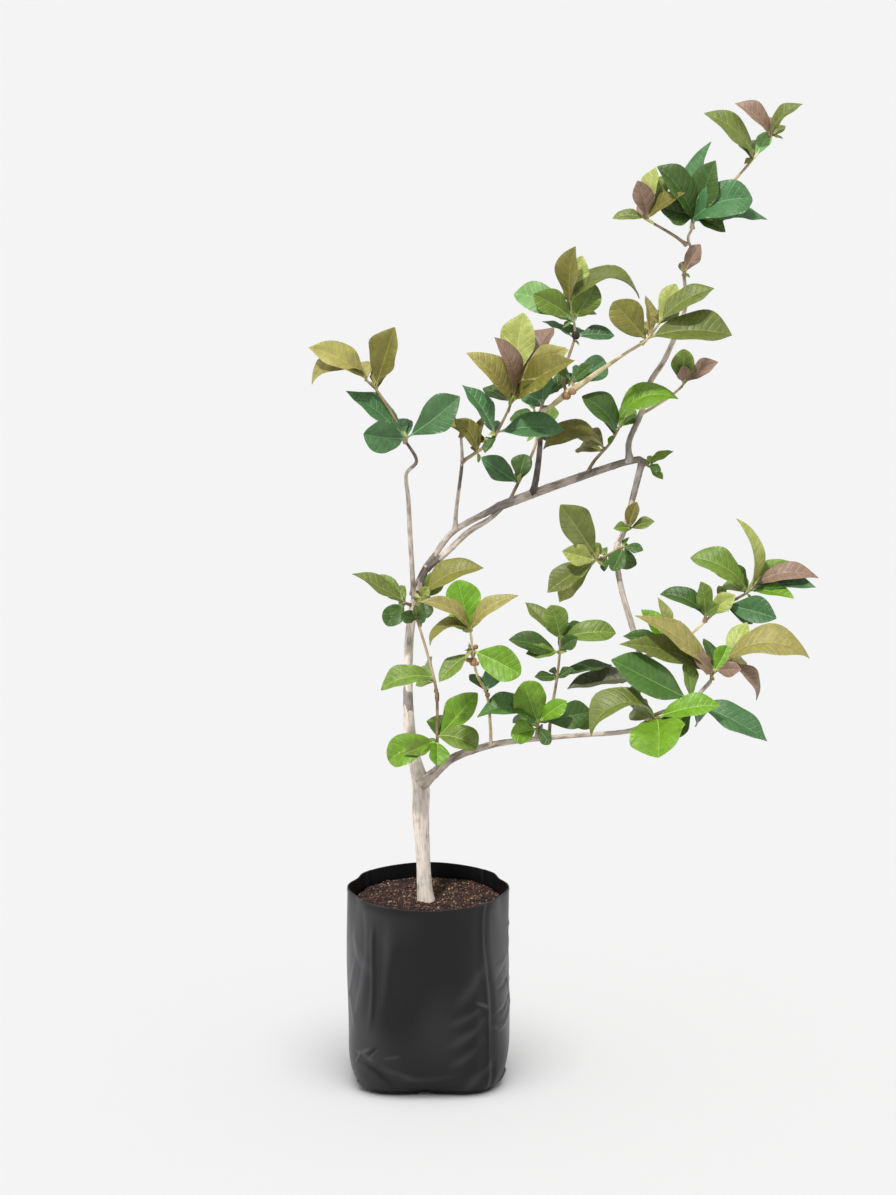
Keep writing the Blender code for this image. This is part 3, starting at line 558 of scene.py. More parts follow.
wood = {
    "step": 1.5, "around": 28, "relief": 0.03, "nodeStep": 19.0, "nodes": 0.07, "flare": 0.5,
    # width of the bark's streaks, drawn coarser than life so that they show, and of its patches
    "streak": 1.923, "streakStretch": 0.13, "patch": 13.33,
    # kinds are places in the list of barks; a limb that isn't named has kind 1
    "kinds": {"trunk": 0, "yellow_shoot": 2, "far_shoot": 2},
    "sunkFoot": (-2, 0, 196, 10.8),  # where the trunk starts, in the soil
    # stretches of darker bark, kind 5 a painted shadow cast by leaves and kind 6 dark twig bark that is
    # partly painted shadow: limb, where it starts and ends as a share of the limb, kind
    "dark": (
        ("front_twig", 0.44, 0.7, 6), ("knee_bough", 0.0, 0.7, 6), ("left_shoot", 0.8, 1.0, 6),
        ("arch_bough", 0.03, 0.14, 6), ("arch_bough", 0.38, 0.5, 5), ("arch_bough", 0.74, 0.82, 5),
        ("arch_bough", 0.87, 1.0, 5), ("arch_strand", 0.0, 0.15, 6), ("arch_strand", 0.76, 1.0, 5),
        ("hanging_bough", 0.0, 0.19, 5), ("leader", 0.0, 0.2, 5), ("trunk", 0.63, 0.69, 5),
    ),
    # knots: place, half length along Z, half width and kind of bark
    "knots": (
        ((161, 41, 832), 4.6, 4.2, 3), ((150, 2, 773), 4.6, 4.6, 4), ((156, 0, 778), 4.0, 4.4, 4),
        ((49, -83, 498), 4.8, 4.0, 4), ((44, -84, 500), 2.4, 3.0, 4), ((53, -83, 496), 2.4, 2.8, 4),
        ((52, -86, 515), 2.6, 2.4, 4), ((49, -83, 508), 5.4, 2.5, 4), ((63, -68, 463), 3.2, 2.7, 3),
        ((65, -68, 457), 2.6, 2.7, 4), ((10, -35, 446), 6.0, 2.5, 4), ((9, -36, 453), 3.0, 2.2, 4),
    ),
}


def smoothPath(points, step):
    # a Catmull-Rom curve through the points: 0.5 * (2b + (c-a)t + (2a-5b+4c-d)t2 + (3b-a-3c+d)t3)
    given = np.array(points, dtype=float)
    given = np.vstack([2 * given[0] - given[1], given, 2 * given[-1] - given[-2]])
    made = []
    for a, b, c, d in zip(given, given[1:], given[2:], given[3:]):
        count = max(1, int(round(np.linalg.norm((c - b)[:3]) / step)))
        t = (np.arange(count) / count)[:, None]
        made.append(
            0.5 * (2 * b + (c - a) * t + (2 * a - 5 * b + 4 * c - d) * t**2 + (3 * b - a - 3 * c + d) * t**3)
        )
    return np.vstack(made + [given[-2:-1]])


def woodSkin(name, points, kind, around, relief, flared):
    # rings r(s, t) = radius * (1 + flare + fissures + node rings) round the path, with a rounded tip
    path = smoothPath(points, wood["step"])
    steps = np.linalg.norm(np.diff(path[:, :3], axis=0), axis=1)
    along = np.concatenate([[0], np.cumsum(steps)])[:, None]
    length = along[-1, 0]
    centre, radius = path[:, :3], path[:, 3:4]
    tangent = np.gradient(centre, axis=0)
    tangent /= np.linalg.norm(tangent, axis=1, keepdims=True)
    side = np.cross(tangent, (0.0, 1.0, 0.0))
    side /= np.linalg.norm(side, axis=1, keepdims=True)
    back = np.cross(side, tangent)
    turn = np.linspace(0, 2 * math.pi, around, endpoint=False)[None, :]
    luck = random.Random(name)
    shift = [luck.uniform(0, 6.28) for _ in range(6)]
    fissures = (
        0.5 * np.sin(5 * turn + shift[0] + 1.5 * np.sin(along / 17 + shift[1]))
        + 0.4 * np.sin(8 * turn - shift[2] + 1.2 * np.sin(along / 11 + shift[3]))
        + 0.3 * np.sin(13 * turn + shift[4] + along / 6)
    )
    nodes = np.exp(-((((along + 9) % wood["nodeStep"]) - 9) / 1.6) ** 2) * (0.15 if kind == 0 else 1.0)
    lopsided = 0.5 + 0.5 * np.cos(turn + shift[5] + 2.4 * np.floor((along + 9) / wood["nodeStep"]))
    swell = wood["flare"] * np.exp(-((along / (1.8 * radius[0, 0])) ** 2)) if flared else 0
    tip = np.sqrt(np.clip((length - along) / (1.2 * radius[-1, 0]), 0.02, 1))
    size = radius * tip * (1 + swell + relief * fissures + wood["nodes"] * nodes * (0.4 + lopsided))
    size = size + 0.06 * radius * np.sin(2 * turn + along / 37 + shift[1])
    grid = (
        centre[:, None]
        + (size * np.cos(turn))[..., None] * back[:, None]
        + (size * np.sin(turn))[..., None] * side[:, None]
    )
    # the bark's pattern runs on a straight cylinder, at a seeded place of its own
    mean = radius.mean()
    grain = np.stack([mean * np.cos(turn) + 0 * along, mean * np.sin(turn) + 0 * along, along + 0 * turn], -1)
    grain = grain + np.array([luck.uniform(0, 500), luck.uniform(0, 500), 0])
    # a stretch of darker bark, much of it painted shadow, has a ragged edge, which waves by a part of the
    # radius
    waved = radius * (0.6 * np.sin(2 * turn + shift[2]) + 0.3 * np.sin(5 * turn))
    ragged = (along + waved)[:-1] / length
    slots = np.full((len(path) - 1, around), kind)
    for limb, start, end, darker in wood["dark"]:
        slots = np.where((limb == name) & (ragged >= start) & (ragged <= end), darker, slots)
    return ringSkin(grid, slots, grain)


def barkMaterial(name, pale, mid, dark, roughness):
    # thin young bark, dry and matt: fine streaks run along the limb, stretched nearly eightfold, over
    # patches of lichen-pale and shade
    made, tree, shader = newMaterial(name, mid, roughness)
    grain = addNode(tree, "ShaderNodeAttribute", attribute_name="grain")
    place = addNode(tree, "ShaderNodeTexCoord")
    stretch = addNode(
        tree, "ShaderNodeMapping",
        {"Vector": grain.outputs["Vector"], "Scale": (1, 1, wood["streakStretch"])},
    )
    streaks = addNode(
        tree, "ShaderNodeTexNoise",
        {"Vector": stretch.outputs["Vector"], "Scale": 1 / (wood["streak"] * mm), "Detail": 5.0},
    )
    patches = addNode(
        tree, "ShaderNodeTexNoise",
        {"Vector": place.outputs["Object"], "Scale": 1 / (wood["patch"] * mm), "Detail": 4.0},
    )
    blend = addNode(
        tree, "ShaderNodeMix",
        {"Factor": 0.45, "A": streaks.outputs["Fac"], "B": patches.outputs["Fac"]}, data_type="FLOAT",
    )
    ramp = addNode(tree, "ShaderNodeValToRGB", {"Fac": blend.outputs["Result"]})
    ramp.color_ramp.elements[0].position = 0.36
    ramp.color_ramp.elements[0].color = linear(dark)
    ramp.color_ramp.elements[1].position = 0.62
    ramp.color_ramp.elements[1].color = linear(pale)
    middle = ramp.color_ramp.elements.new(0.47)
    middle.color = linear(mid)
    bump = addNode(
        tree, "ShaderNodeBump", {"Height": streaks.outputs["Fac"], "Strength": 0.7, "Distance": 0.0012}
    )
    setInputs(tree, shader, {"Base Color": ramp.outputs["Color"], "Normal": bump.outputs["Normal"]})
    return made


def knotSkin(centre, tall, wide, kind):
    # a lump of rings: radius = wide * sin(pi * place) ** 0.6 * (1 + knobs), at a height of
    # -tall * cos(pi * place)
    place = np.linspace(0.06, 0.94, 9)[:, None]
    turn = np.linspace(0, 2 * math.pi, 14, endpoint=False)[None, :]
    luck = random.Random(str(centre))
    knobs = 0.12 * np.sin(3 * turn + luck.uniform(0, 6)) + 0.08 * np.sin(5 * turn + 9 * place)
    radius = wide * np.sin(np.pi * place) ** 0.6 * (1 + knobs)
    level = -tall * np.cos(np.pi * place) + 0 * turn
    grid = np.array(centre, float) + np.stack([radius * np.cos(turn), radius * np.sin(turn), level], -1)
    return ringSkin(grid, kind, grid)


barks = [
    barkMaterial("smooth cream hawthorn bark", "#dfd3c8", "#c9bdb2", "#93877b", 0.85),
    barkMaterial("grey-brown bark of young boughs", "#cabdb0", "#a99c90", "#6e635a", 0.8),
    barkMaterial("straw bark of this year's shoots", "#d5c9a6", "#b3a47a", "#7f6f4a", 0.6),
    barkMaterial("black-brown bark of dead knots", "#4a3f35", "#2e2721", "#1a1613", 0.9),
    barkMaterial("cork-brown bark of swollen nodes", "#b08e66", "#8a6a48", "#553f2c", 0.85),
    # painted shadow of leaves on grey bark, then dark brown twig bark that is partly painted shadow
    barkMaterial("grey bark under painted leaf shadow", "#9a928a", "#7f776f", "#57504a", 0.85),
    barkMaterial("dark brown twig bark, part painted shadow", "#7a6e65", "#5c524b", "#3a332e", 0.75),
]


def makeWood():
    skins = []
    for name, points in limbs.items():
        kind = wood["kinds"].get(name, 1)
        if name == "trunk":
            points = (wood["sunkFoot"],) + points
        # the trunk's flare is in its radii
        skins.append(woodSkin(name, points, kind, wood["around"], wood["relief"], name != "trunk"))
    skins += [knotSkin(*knot) for knot in wood["knots"]]
    makePiece("trunk_and_boughs", skins, barks, list(limbs), 60)


makeWood()
print("hawthorn: trunk and boughs")


# Foliage: shapes give width over length, turn of the blade up from facing the viewer, and bow

shapes = {
    "disc": (1.00, 8, 20),
    "wide": (0.72, 22, 30),
    "round": (0.60, 12, 18),
    "broad": (0.48, 26, 20),
    "oval": (0.44, 42, 25),
    "cupped": (0.52, 46, 105),
    "arched": (0.44, 44, 85),
    "bowed": (0.40, 52, 75),
    "strap": (0.27, 55, 85),
    "blade": (0.27, 55, 45),
    "hooked": (0.40, 61, 125),
    "looped": (0.38, 68, 165),
    "slim": (0.39, 53, 28),
    "edge": (0.40, 67, 22),
    "bud": (0.30, 45, 5),
}
# outline of each shape: powers p and q of sin(pi * place ** p) ** q
outlines = {
    "disc": (1.3, 0.52), "wide": (1.45, 0.58), "round": (1.4, 0.6), "broad": (1.4, 0.68),
    "oval": (1.25, 0.76), "cupped": (1.5, 0.62), "arched": (1.35, 0.72), "bowed": (1.1, 0.85),
    "strap": (0.95, 0.9), "blade": (0.95, 0.9), "hooked": (0.95, 0.9), "looped": (0.95, 0.9),
    "slim": (0.95, 0.95), "edge": (1.0, 0.8), "bud": (0.85, 0.8),
}
# leaf tints: upper face, underside and midrib
tints = {
    "jade": ("#3e5a24", "#6c8450", "#6c8450"),
    "fern": ("#456c2d", "#789653", "#82a160"),
    "teal": ("#446b3f", "#768f6a", "#7f9c76"),
    "mint": ("#6c9350", "#8aa870", "#98b584"),
    "leaf": ("#667f30", "#869a56", "#9aab66"),
    "moss": ("#626d30", "#828a50", "#94995e"),
    # lime: the yellow-green of young leaves, partly painted light, brighter to stand in for sunlight glowing
    # through them
    "lime": ("#648d20", "#86a644", "#9dbb5a"),
    "pale": ("#949d50", "#a2aa6c", "#b8bd7e"),
    "olive": ("#716e2e", "#888250", "#9c945a"),
    "mauve": ("#826a58", "#927c6a", "#a48b76"),
    "tan": ("#8f894a", "#9e9566", "#b0a56c"),
    "dusk": ("#55573f", "#706c54", "#7a765a"),
}
# each spray: its stem, then its knots. A knot is a place along the stem and a fan of leaves, and a
# leaf is its clock angle from straight up, its lean to the viewer, its length, shape and tint
sprays = {
    "top_spray": (
        ((282, -20, 958), (284, -23, 970), (309, -13, 989), (345, 0, 1027), (373, 10, 1060)),
        (
            (0.07, ((17, 15, 80, "oval", "jade"), (14, -25, 98, "edge", "teal"),
                    (-31, 12, 84, "arched", "jade"), (65, 15, 86, "cupped", "teal"),
                    (45, -30, 46, "oval", "jade"), (88, 5, 80, "edge", "teal"),
                    (85, -25, 42, "oval", "jade"), (112, 30, 40, "oval", "jade"),
                    (-72, 25, 46, "wide", "jade"), (-45, -25, 40, "round", "jade"),
                    (100, 40, 26, "oval", "olive"), (-5, 40, 25, "bud", "pale"))),
            (0.72, ((-47, 12, 82, "bowed", "moss"), (35, -20, 34, "broad", "mint"))),
            (0.93, ((-46, 8, 60, "bowed", "mauve"), (42, 12, 54, "bowed", "moss"),
                    (105, 30, 13, "bud", "pale"))),
        ),
    ),
    "side_spray": (
        ((276, -16, 940), (261, -26, 952), (231, -40, 971)),
        ((1.0, ((-16, 15, 48, "broad", "mauve"), (10, -10, 57, "oval", "pale"),
                (24, -30, 54, "broad", "moss"), (52, 20, 54, "slim", "olive"),
                (-88, 5, 39, "bowed", "moss"))),),
    ),
    "bract_spray": (
        ((275, -8, 906), (273, -20, 910)),
        ((0.8, ((28, 12, 38, "broad", "mauve"), (-15, 30, 16, "bud", "pale"))),),
    ),
    "fork_spray": (
        ((229, -29, 835), (236, -32, 842), (248, -37, 859)),
        (
            (0.3, ((-40, 12, 58, "round", "olive"), (86, 10, 98, "arched", "moss"),
                   (-5, -20, 46, "slim", "tan"))),
            (0.95, ((24, -12, 48, "broad", "pale"), (55, 10, 76, "bowed", "moss"))),
        ),
    ),
    "mid_top_spray": (
        ((150, 5, 776), (147, 24, 787), (152, 38, 805), (160, 48, 832), (156, 52, 862)),
        (
            (0.68, ((-64, -12, 40, "edge", "teal"), (90, -5, 44, "oval", "teal"))),
            (0.85, ((-66, -10, 82, "arched", "mint"), (-54, 20, 60, "broad", "leaf"),
                    (30, 20, 50, "round", "leaf"))),
            (0.92, ((77, 0, 112, "looped", "moss"),)),
            (1.0, ((3, 12, 72, "oval", "olive"), (12, -10, 58, "broad", "pale"))),
        ),
    ),
    "middle_spray": (
        ((37, -9, 702), (66, -22, 725), (75, -29, 739), (88, -41, 769), (97, -49, 797)),
        (
            (0.17, ((-32, 12, 50, "arched", "olive"), (10, -5, 40, "slim", "olive"))),
            (0.33, ((-85, -40, 28, "oval", "olive"),)),
            (0.45, ((-34, -10, 66, "slim", "teal"), (-145, 40, 28, "oval", "jade"),
                    (86, 12, 74, "oval", "teal"))),
            (0.78, ((-38, 15, 86, "bowed", "tan"), (50, 30, 102, "slim", "olive"),
                    (-70, -35, 40, "oval", "jade"))),
            (0.88, ((-18, 20, 80, "bowed", "mauve"), (50, 8, 66, "edge", "jade"))),
            (1.0, ((5, -15, 78, "broad", "pale"), (50, 18, 70, "oval", "tan"),
                   (56, 0, 66, "oval", "pale"), (36, -30, 78, "oval", "mauve"))),
        ),
    ),
    "knee_spray": (
        ((123, 12, 753), (125, 17, 763), (131, 23, 770)),
        (
            (0.4, ((8, -15, 34, "round", "teal"), (-70, -35, 30, "round", "teal"))),
            (1.0, ((60, -35, 45, "oval", "jade"),)),
        ),
    ),
    "shoulder_spray": (
        ((158, 1, 781), (156, 10, 789)),
        ((0.7, ((58, -25, 46, "round", "teal"), (45, 5, 32, "oval", "jade"),
                (-55, -20, 24, "oval", "jade"))),),
    ),
    "left_tip_spray": (
        ((-24, -27, 729), (-36, -32, 755), (-52, -38, 783), (-65, -43, 798)),
        (
            (0.82, ((17, 10, 74, "broad", "olive"),)),
            (1.0, ((-58, 12, 80, "bowed", "tan"), (-92, 10, 82, "looped", "tan"))),
        ),
    ),
    "left_node_spray": (
        ((-24, -26, 727), (-22, -34, 734)),
        ((0.8, ((-50, 5, 86, "slim", "teal"), (-76, 35, 58, "round", "teal"),
                (50, 10, 76, "broad", "teal"))),),
    ),
    "front_tip_spray": (
        ((36, -22, 732), (36, -24, 740)),
        ((0.7, ((-20, 10, 21, "bud", "mauve"), (30, -10, 14, "bud", "tan"),
                (-60, -55, 24, "broad", "olive"))),),
    ),
    "back_spray": (
        ((89, 37, 648), (97, 46, 663), (112, 67, 689), (120, 82, 712), (117, 94, 742)),
        (
            (0.22, ((-52, 15, 54, "broad", "teal"), (15, -20, 32, "wide", "jade"))),
            (0.75, ((-50, -50, 48, "broad", "jade"), (35, -45, 45, "broad", "leaf"),
                    (100, -40, 40, "broad", "jade"))),
            (1.0, ((-20, -20, 46, "broad", "leaf"), (15, -30, 52, "broad", "jade"),
                   (-20, -65, 40, "oval", "teal"))),
        ),
    ),
    "right_twig_spray": (
        ((174, 46, 677), (182, 40, 693), (198, 30, 714), (209, 20, 735)),
        (
            (0.5, ((-86, 15, 88, "hooked", "olive"),)),
            (0.85, ((-40, 15, 68, "arched", "jade"),)),
            (1.0, ((62, 10, 92, "hooked", "lime"), (40, -57, 40, "broad", "leaf"))),
        ),
    ),
    "right_spray": (
        ((232, 36, 746), (246, 44, 752), (269, 55, 765), (284, 61, 779)),
        ((0.92, ((0, 10, 42, "round", "leaf"), (55, 12, 46, "oval", "mauve"),
                 (-12, 35, 26, "round", "mauve"))),),
    ),
    "joint_spray": (
        ((235, 44, 691), (243, 39, 686)),
        ((0.8, ((60, 10, 34, "slim", "leaf"), (130, 20, 22, "oval", "leaf"),
                (95, 50, 20, "broad", "jade"))),),
    ),
    "hanging_spray": (
        ((206, 12, 598), (192, 2, 594), (182, -4, 591)),
        (
            (0.5, ((-170, 25, 18, "broad", "jade"), (-70, -50, 30, "oval", "leaf"))),
            (1.0, ((-33, 10, 78, "broad", "moss"), (-68, 30, 48, "broad", "pale"),
                   (-120, 20, 66, "oval", "moss"), (-140, 0, 62, "oval", "pale"),
                   (8, 12, 18, "bud", "tan"))),
        ),
    ),
    "hanging_side_spray": (
        ((207, 14, 601), (216, 10, 604)),
        ((0.75, ((96, 10, 24, "broad", "jade"), (-150, 35, 32, "round", "jade"),
                 (168, -25, 32, "round", "jade"))),),
    ),
    "hanging_top_spray": (
        ((214, 25, 618), (223, 21, 622)),
        ((0.75, ((16, 10, 34, "broad", "olive"), (70, 15, 30, "oval", "moss"),
                 (-80, 40, 26, "oval", "leaf"))),),
    ),
    "left_heart_spray": (
        ((-16, 14, 536), (-24, 6, 541), (-27, -2, 543)),
        (
            (0.6, ((-59, 8, 70, "edge", "moss"), (-55, -25, 48, "oval", "leaf"))),
            (1.0, ((-140, 25, 32, "wide", "jade"), (-150, 35, 26, "round", "jade"))),
        ),
    ),
    "right_heart_spray": (
        ((-15, 15, 538), (-8, 7, 545), (-4, 0, 551)),
        (
            (0.6, ((38, 10, 44, "broad", "leaf"), (25, 45, 28, "broad", "pale"))),
            (1.0, ((62, 10, 82, "bowed", "olive"), (170, 35, 26, "round", "jade"))),
        ),
    ),
    "foot_spray": (
        ((14, -9, 362), (11, -18, 381), (10, -24, 400), (10, -35, 442), (6, -38, 471), (-8, -18, 516),
         (-14, -14, 532)),
        (
            (0.2, ((-110, 5, 68, "cupped", "lime"), (-100, 35, 46, "oval", "leaf"),
                   (180, 45, 32, "wide", "lime"), (41, -3, 68, "broad", "lime"),
                   (102, 15, 56, "cupped", "leaf"), (65, -50, 36, "oval", "jade"))),
            (0.6, ((-98, 12, 72, "hooked", "leaf"),)),
            (0.98, ((-60, 35, 24, "round", "jade"), (60, 50, 20, "round", "jade"),
                    (-5, 45, 26, "oval", "leaf"))),
        ),
    ),
    "centre_spray": (
        ((69, -30, 389), (68, -45, 417), (64, -68, 457), (52, -80, 487), (46, -89, 534)),
        (
            (0.52, ((25, 5, 34, "round", "teal"), (-50, -30, 26, "oval", "jade"))),
            (0.86, ((-128, 22, 50, "oval", "leaf"), (112, 22, 60, "round", "lime"),
                    (-140, 40, 16, "bud", "tan"))),
            (1.0, ((-14, -8, 60, "round", "lime"), (50, 10, 76, "strap", "tan"),
                   (-56, 15, 76, "strap", "tan"), (-70, -40, 38, "oval", "lime"),
                   (-106, 15, 62, "looped", "olive"))),
        ),
    ),
    "low_mid_spray": (
        ((118, -46, 402), (119, -52, 414), (121, -54, 425)),
        (
            (0.65, ((-95, 30, 34, "wide", "lime"), (140, 30, 24, "round", "jade"),
                    (-79, 12, 84, "hooked", "fern"))),
            (0.95, ((-18, 10, 54, "wide", "lime"), (48, 20, 44, "broad", "lime"),
                    (82, -10, 60, "broad", "jade"), (97, -22, 70, "oval", "leaf"))),
        ),
    ),
    "right_mid_spray": (
        ((132, -51, 404), (134, -43, 428), (140, -36, 463), (143, -36, 490), (144, -34, 512)),
        (
            (0.6, ((50, 10, 22, "broad", "jade"), (-82, 25, 28, "oval", "jade"),
                   (82, -10, 62, "edge", "jade"))),
            (0.86, ((-72, 10, 60, "oval", "jade"), (-88, 20, 40, "oval", "leaf"),
                    (44, 40, 36, "broad", "jade"))),
            (1.0, ((-14, 15, 46, "round", "leaf"), (-47, -25, 58, "slim", "moss"),
                   (82, 5, 66, "arched", "leaf"), (60, -25, 32, "broad", "jade"))),
        ),
    ),
    "long_leaf_spray": (
        ((239, -24, 466), (229, -30, 464)),
        ((0.8, ((-97, 5, 82, "edge", "dusk"), (-176, -40, 58, "oval", "jade"))),),
    ),
    "low_tip_spray": (
        ((240, -89, 434), (244, -97, 438), (248, -101, 440)),
        (
            (0.7, ((-103, 12, 104, "looped", "moss"),)),
            (1.0, ((-178, 60, 60, "disc", "lime"), (76, 8, 74, "bowed", "lime"))),
        ),
    ),
    "low_right_spray": (
        ((283, -74, 450), (285, -82, 454)),
        ((0.75, ((-150, 20, 44, "wide", "jade"), (116, 10, 94, "slim", "teal"),
                 (-60, 10, 104, "oval", "fern"), (-8, -10, 48, "oval", "leaf"),
                 (165, -45, 50, "oval", "jade"))),),
    ),
    "right_top_spray": (
        ((308, -58, 471), (309, -57, 478), (324, -51, 487)),
        (
            (0.35, ((-48, 18, 126, "blade", "tan"), (-67, 18, 120, "blade", "moss"),
                    (30, -20, 34, "round", "lime"), (-45, 40, 48, "oval", "mauve"),
                    (75, 35, 34, "broad", "mauve"), (-25, -40, 42, "oval", "jade"))),
            (1.0, ((83, 10, 116, "hooked", "tan"), (138, 15, 60, "hooked", "mauve"),
                   (30, -25, 54, "oval", "pale"))),
        ),
    ),
    "inner_spray": (
        ((258, -5, 489), (260, -12, 495), (262, -17, 499)),
        (
            (0.7, ((-10, 10, 62, "slim", "pale"), (-35, -10, 50, "oval", "lime"))),
            (1.0, ((-75, 9, 52, "slim", "jade"), (35, -45, 38, "oval", "jade"))),
        ),
    ),
    "far_mid_spray": (
        ((304, 19, 517), (305, 16, 527)),
        ((0.7, ((-8, 10, 45, "broad", "leaf"), (52, 5, 42, "broad", "pale"),
                (-66, -5, 60, "bowed", "jade"), (35, 50, 36, "oval", "leaf"))),),
    ),
    "far_spray": (
        ((323, 28, 533), (336, 32, 538), (350, 36, 545), (358, 38, 551)),
        (
            (0.1, ((100, 20, 62, "broad", "teal"), (125, 5, 38, "oval", "jade"),
                   (-25, -40, 24, "broad", "leaf"))),
            (0.8, ((-8, 10, 100, "strap", "pale"), (-57, 5, 84, "arched", "leaf"),
                   (-35, 10, 42, "broad", "jade"), (90, 40, 60, "edge", "lime"))),
            (1.0, ((55, -10, 52, "oval", "leaf"), (80, 5, 84, "strap", "mauve"),
                   (86, 12, 72, "slim", "teal"))),
        ),
    ),
}
foliage = {
    # the stem: step of its points, points from one leaf of a fan to the next, radii at its two ends
    "fineStep": 0.4, "leafStep": 5, "stemRadii": (2.0, 1.2), "stemAround": 12, "stemRelief": 0.05,
    # the leaf: half width of the rib, share of the length that is stalk, and how far the tip is drawn
    # in on shapes that are slimmer than pointedBelow
    "ribHalf": 0.34, "stalkEnds": 0.1, "tipPinch": 0.5, "pointedBelow": 0.55,
    # rings of a leaf that is longer than longFrom, of a shorter one, and of the two kinds below
    "longFrom": 52, "rowsLong": 20, "rowsShort": 15, "rowsBack": 13, "rowsYoung": 9,
    # the leaf's skin: size of its mottling and of its pebbles, which are drawn coarser than life so
    # that they show, and from one side vein to the next
    "mottle": 7.692, "pebble": 1.5385, "veinStep": 7.5,
    "backPerKnot": 2, "youngPerKnot": 1, "youngTints": ("leaf", "olive", "pale", "lime"),
    "budLength": 3.2,
    "youngStems": ("top_spray", "fork_spray", "right_spray", "far_spray", "inner_spray", "centre_spray"),
}
# places across a leaf, as shares of its half width: the upper face from edge to edge with the midrib
# in the middle, then back along the underside
ribPlace = 0.06
upperPlaces = np.array([-1, -0.8, -0.52, -0.24, -ribPlace, ribPlace, 0.24, 0.52, 0.8, 1])
underPlaces = np.array([0.66, 0.25, 0.0, -0.25, -0.66])
upperSide = np.concatenate([np.ones(len(upperPlaces)), -np.ones(len(underPlaces))])[None, :]
# materials across a leaf: 0 is the upper face, 1 the underside and 2 the midrib and the stalk
acrossSlots = np.concatenate([np.zeros(len(upperPlaces) - 1), np.ones(len(underPlaces) + 1)])
acrossSlots[4] = 2


def leafFrame(clock, lean, face):
    # the chord points by the clock angle and the lean: (sin c cos l, -sin l, cos c cos l); the normal
    # is the viewer's way set square to the chord, turned up about it by the face
    clock, lean, face = math.radians(clock), math.radians(lean), math.radians(face)
    chord = np.array((math.sin(clock) * math.cos(lean), -math.sin(lean), math.cos(clock) * math.cos(lean)))
    viewer = np.array((0.0, -1.0, 0.0))
    viewer -= chord * np.dot(viewer, chord)
    viewer /= np.linalg.norm(viewer)
    upward = np.cross(chord, viewer)
    if math.sin(clock) >= 0:
        upward = -upward
    normal = math.cos(face) * viewer + math.sin(face) * upward
    return chord, normal, np.cross(chord, normal)


def leafSkin(base, row, tintNumber, luck, rows):
    # the midrib is an arc over its chord; each ring is x * side + z * normal with
    # x = t * half width and z = fold + ripple +- half the thickness, round where it is stalk
    clock, lean, length, shape = row
    ratio, face, bow = shapes[shape]
    power, blunt = outlines[shape]
    face += luck.uniform(-6, 6)
    bow = math.radians(bow * luck.uniform(0.85, 1.15))
    chord, normal, side = leafFrame(clock, lean, face)
    # the arc: length / bow * (sin(bow / 2) - sin(turn)) along the chord and
    # length / bow * (cos(turn) - cos(bow / 2)) along the normal
    place = (0.985 * (1 - (1 - np.linspace(0, 1, rows)) ** 1.25))[:, None]
    turn = bow * (0.5 - place)
    across = length / bow * (math.sin(bow / 2) - np.sin(turn))
    rise = length / bow * (np.cos(turn) - math.cos(bow / 2))
    centre = base + across * chord + rise * normal
    tip = base + 2 * length / bow * math.sin(bow / 2) * chord
    here = np.cos(turn) * normal - np.sin(turn) * chord
    # it is twisted along its length and bent to one side
    twist = math.radians(luck.uniform(-16, 16)) * (place - 0.25)
    centre = centre + luck.uniform(-0.035, 0.035) * length * np.sin(np.pi * place) * side
    sideways = np.cos(twist) * side + np.sin(twist) * here
    here = np.cos(twist) * here - np.sin(twist) * side
    # the outline: half = stalk + ratio * length / 2 * sin(pi * opened ** power) ** blunt
    stalk = 0.5 + length / 160
    opened = np.clip((place - foliage["stalkEnds"]) / (1 - foliage["stalkEnds"]), 0, 1)
    pinch = 1 - (foliage["tipPinch"] * opened**9 if ratio < foliage["pointedBelow"] else 0)
    blade = np.sin(np.pi * opened**power) ** blunt * pinch
    half = stalk * (1 - 0.8 * opened) + ratio * length / 2 * blade
    flat = np.clip((place - foliage["stalkEnds"]) / 0.06, 0, 1)
    t = np.concatenate([upperPlaces, underPlaces])[None, :]
    onRib = np.abs(t) == ribPlace
    uneven = 1 + 0.09 * np.sin(2 * np.pi * (luck.uniform(0.9, 1.5) * place + luck.random()) + 2.2 * (t > 0))
    rib = np.minimum(foliage["ribHalf"] * (1.15 - 0.8 * place), 0.5 * half)
    x = np.where(onRib, np.sign(t) * rib, t * half * uneven)
    # the blade folds up from the midrib, ripples to its edge and has the rib sunk above, proud below
    spread = np.abs(x) / np.maximum(half, 0.01)
    fold = (half - stalk * (1 - opened)) * (luck.uniform(0.5, 0.8) * spread - 0.28 * spread**2)
    phase = luck.uniform(0, 6.28)
    beats = luck.uniform(1.6, 2.8)
    ripple = 0.1 * half * spread**2 * np.sin(2 * np.pi * beats * place + phase + 1.7 * (x > 0))
    thick = np.where(np.abs(t) == 1, 0, 0.32 - 0.2 * spread)
    sunk = np.where(onRib, 0.12, 0) + np.where(t == 0, 0.5 * (1 - 0.6 * place), 0)
    bladeZ = fold + ripple + upperSide * thick - sunk
    stalkZ = upperSide * half * np.sqrt(np.clip(1 - spread**2, 0, 1))
    z = flat * bladeZ + (1 - flat) * stalkZ
    grid = centre[:, None] + x[..., None] * sideways[:, None] + z[..., None] * here[:, None]
    slots = np.where(place[:-1] < foliage["stalkEnds"], 2, acrossSlots[None, :]) + 3 * tintNumber
    # the skin's pattern runs across and along the leaf, with a number of its own for each leaf
    grain = np.stack([x, place * length + 0 * x, 0 * x + luck.uniform(0, 900)], -1)
    return ringSkin(grid, slots.astype(int), grain, base, tip)


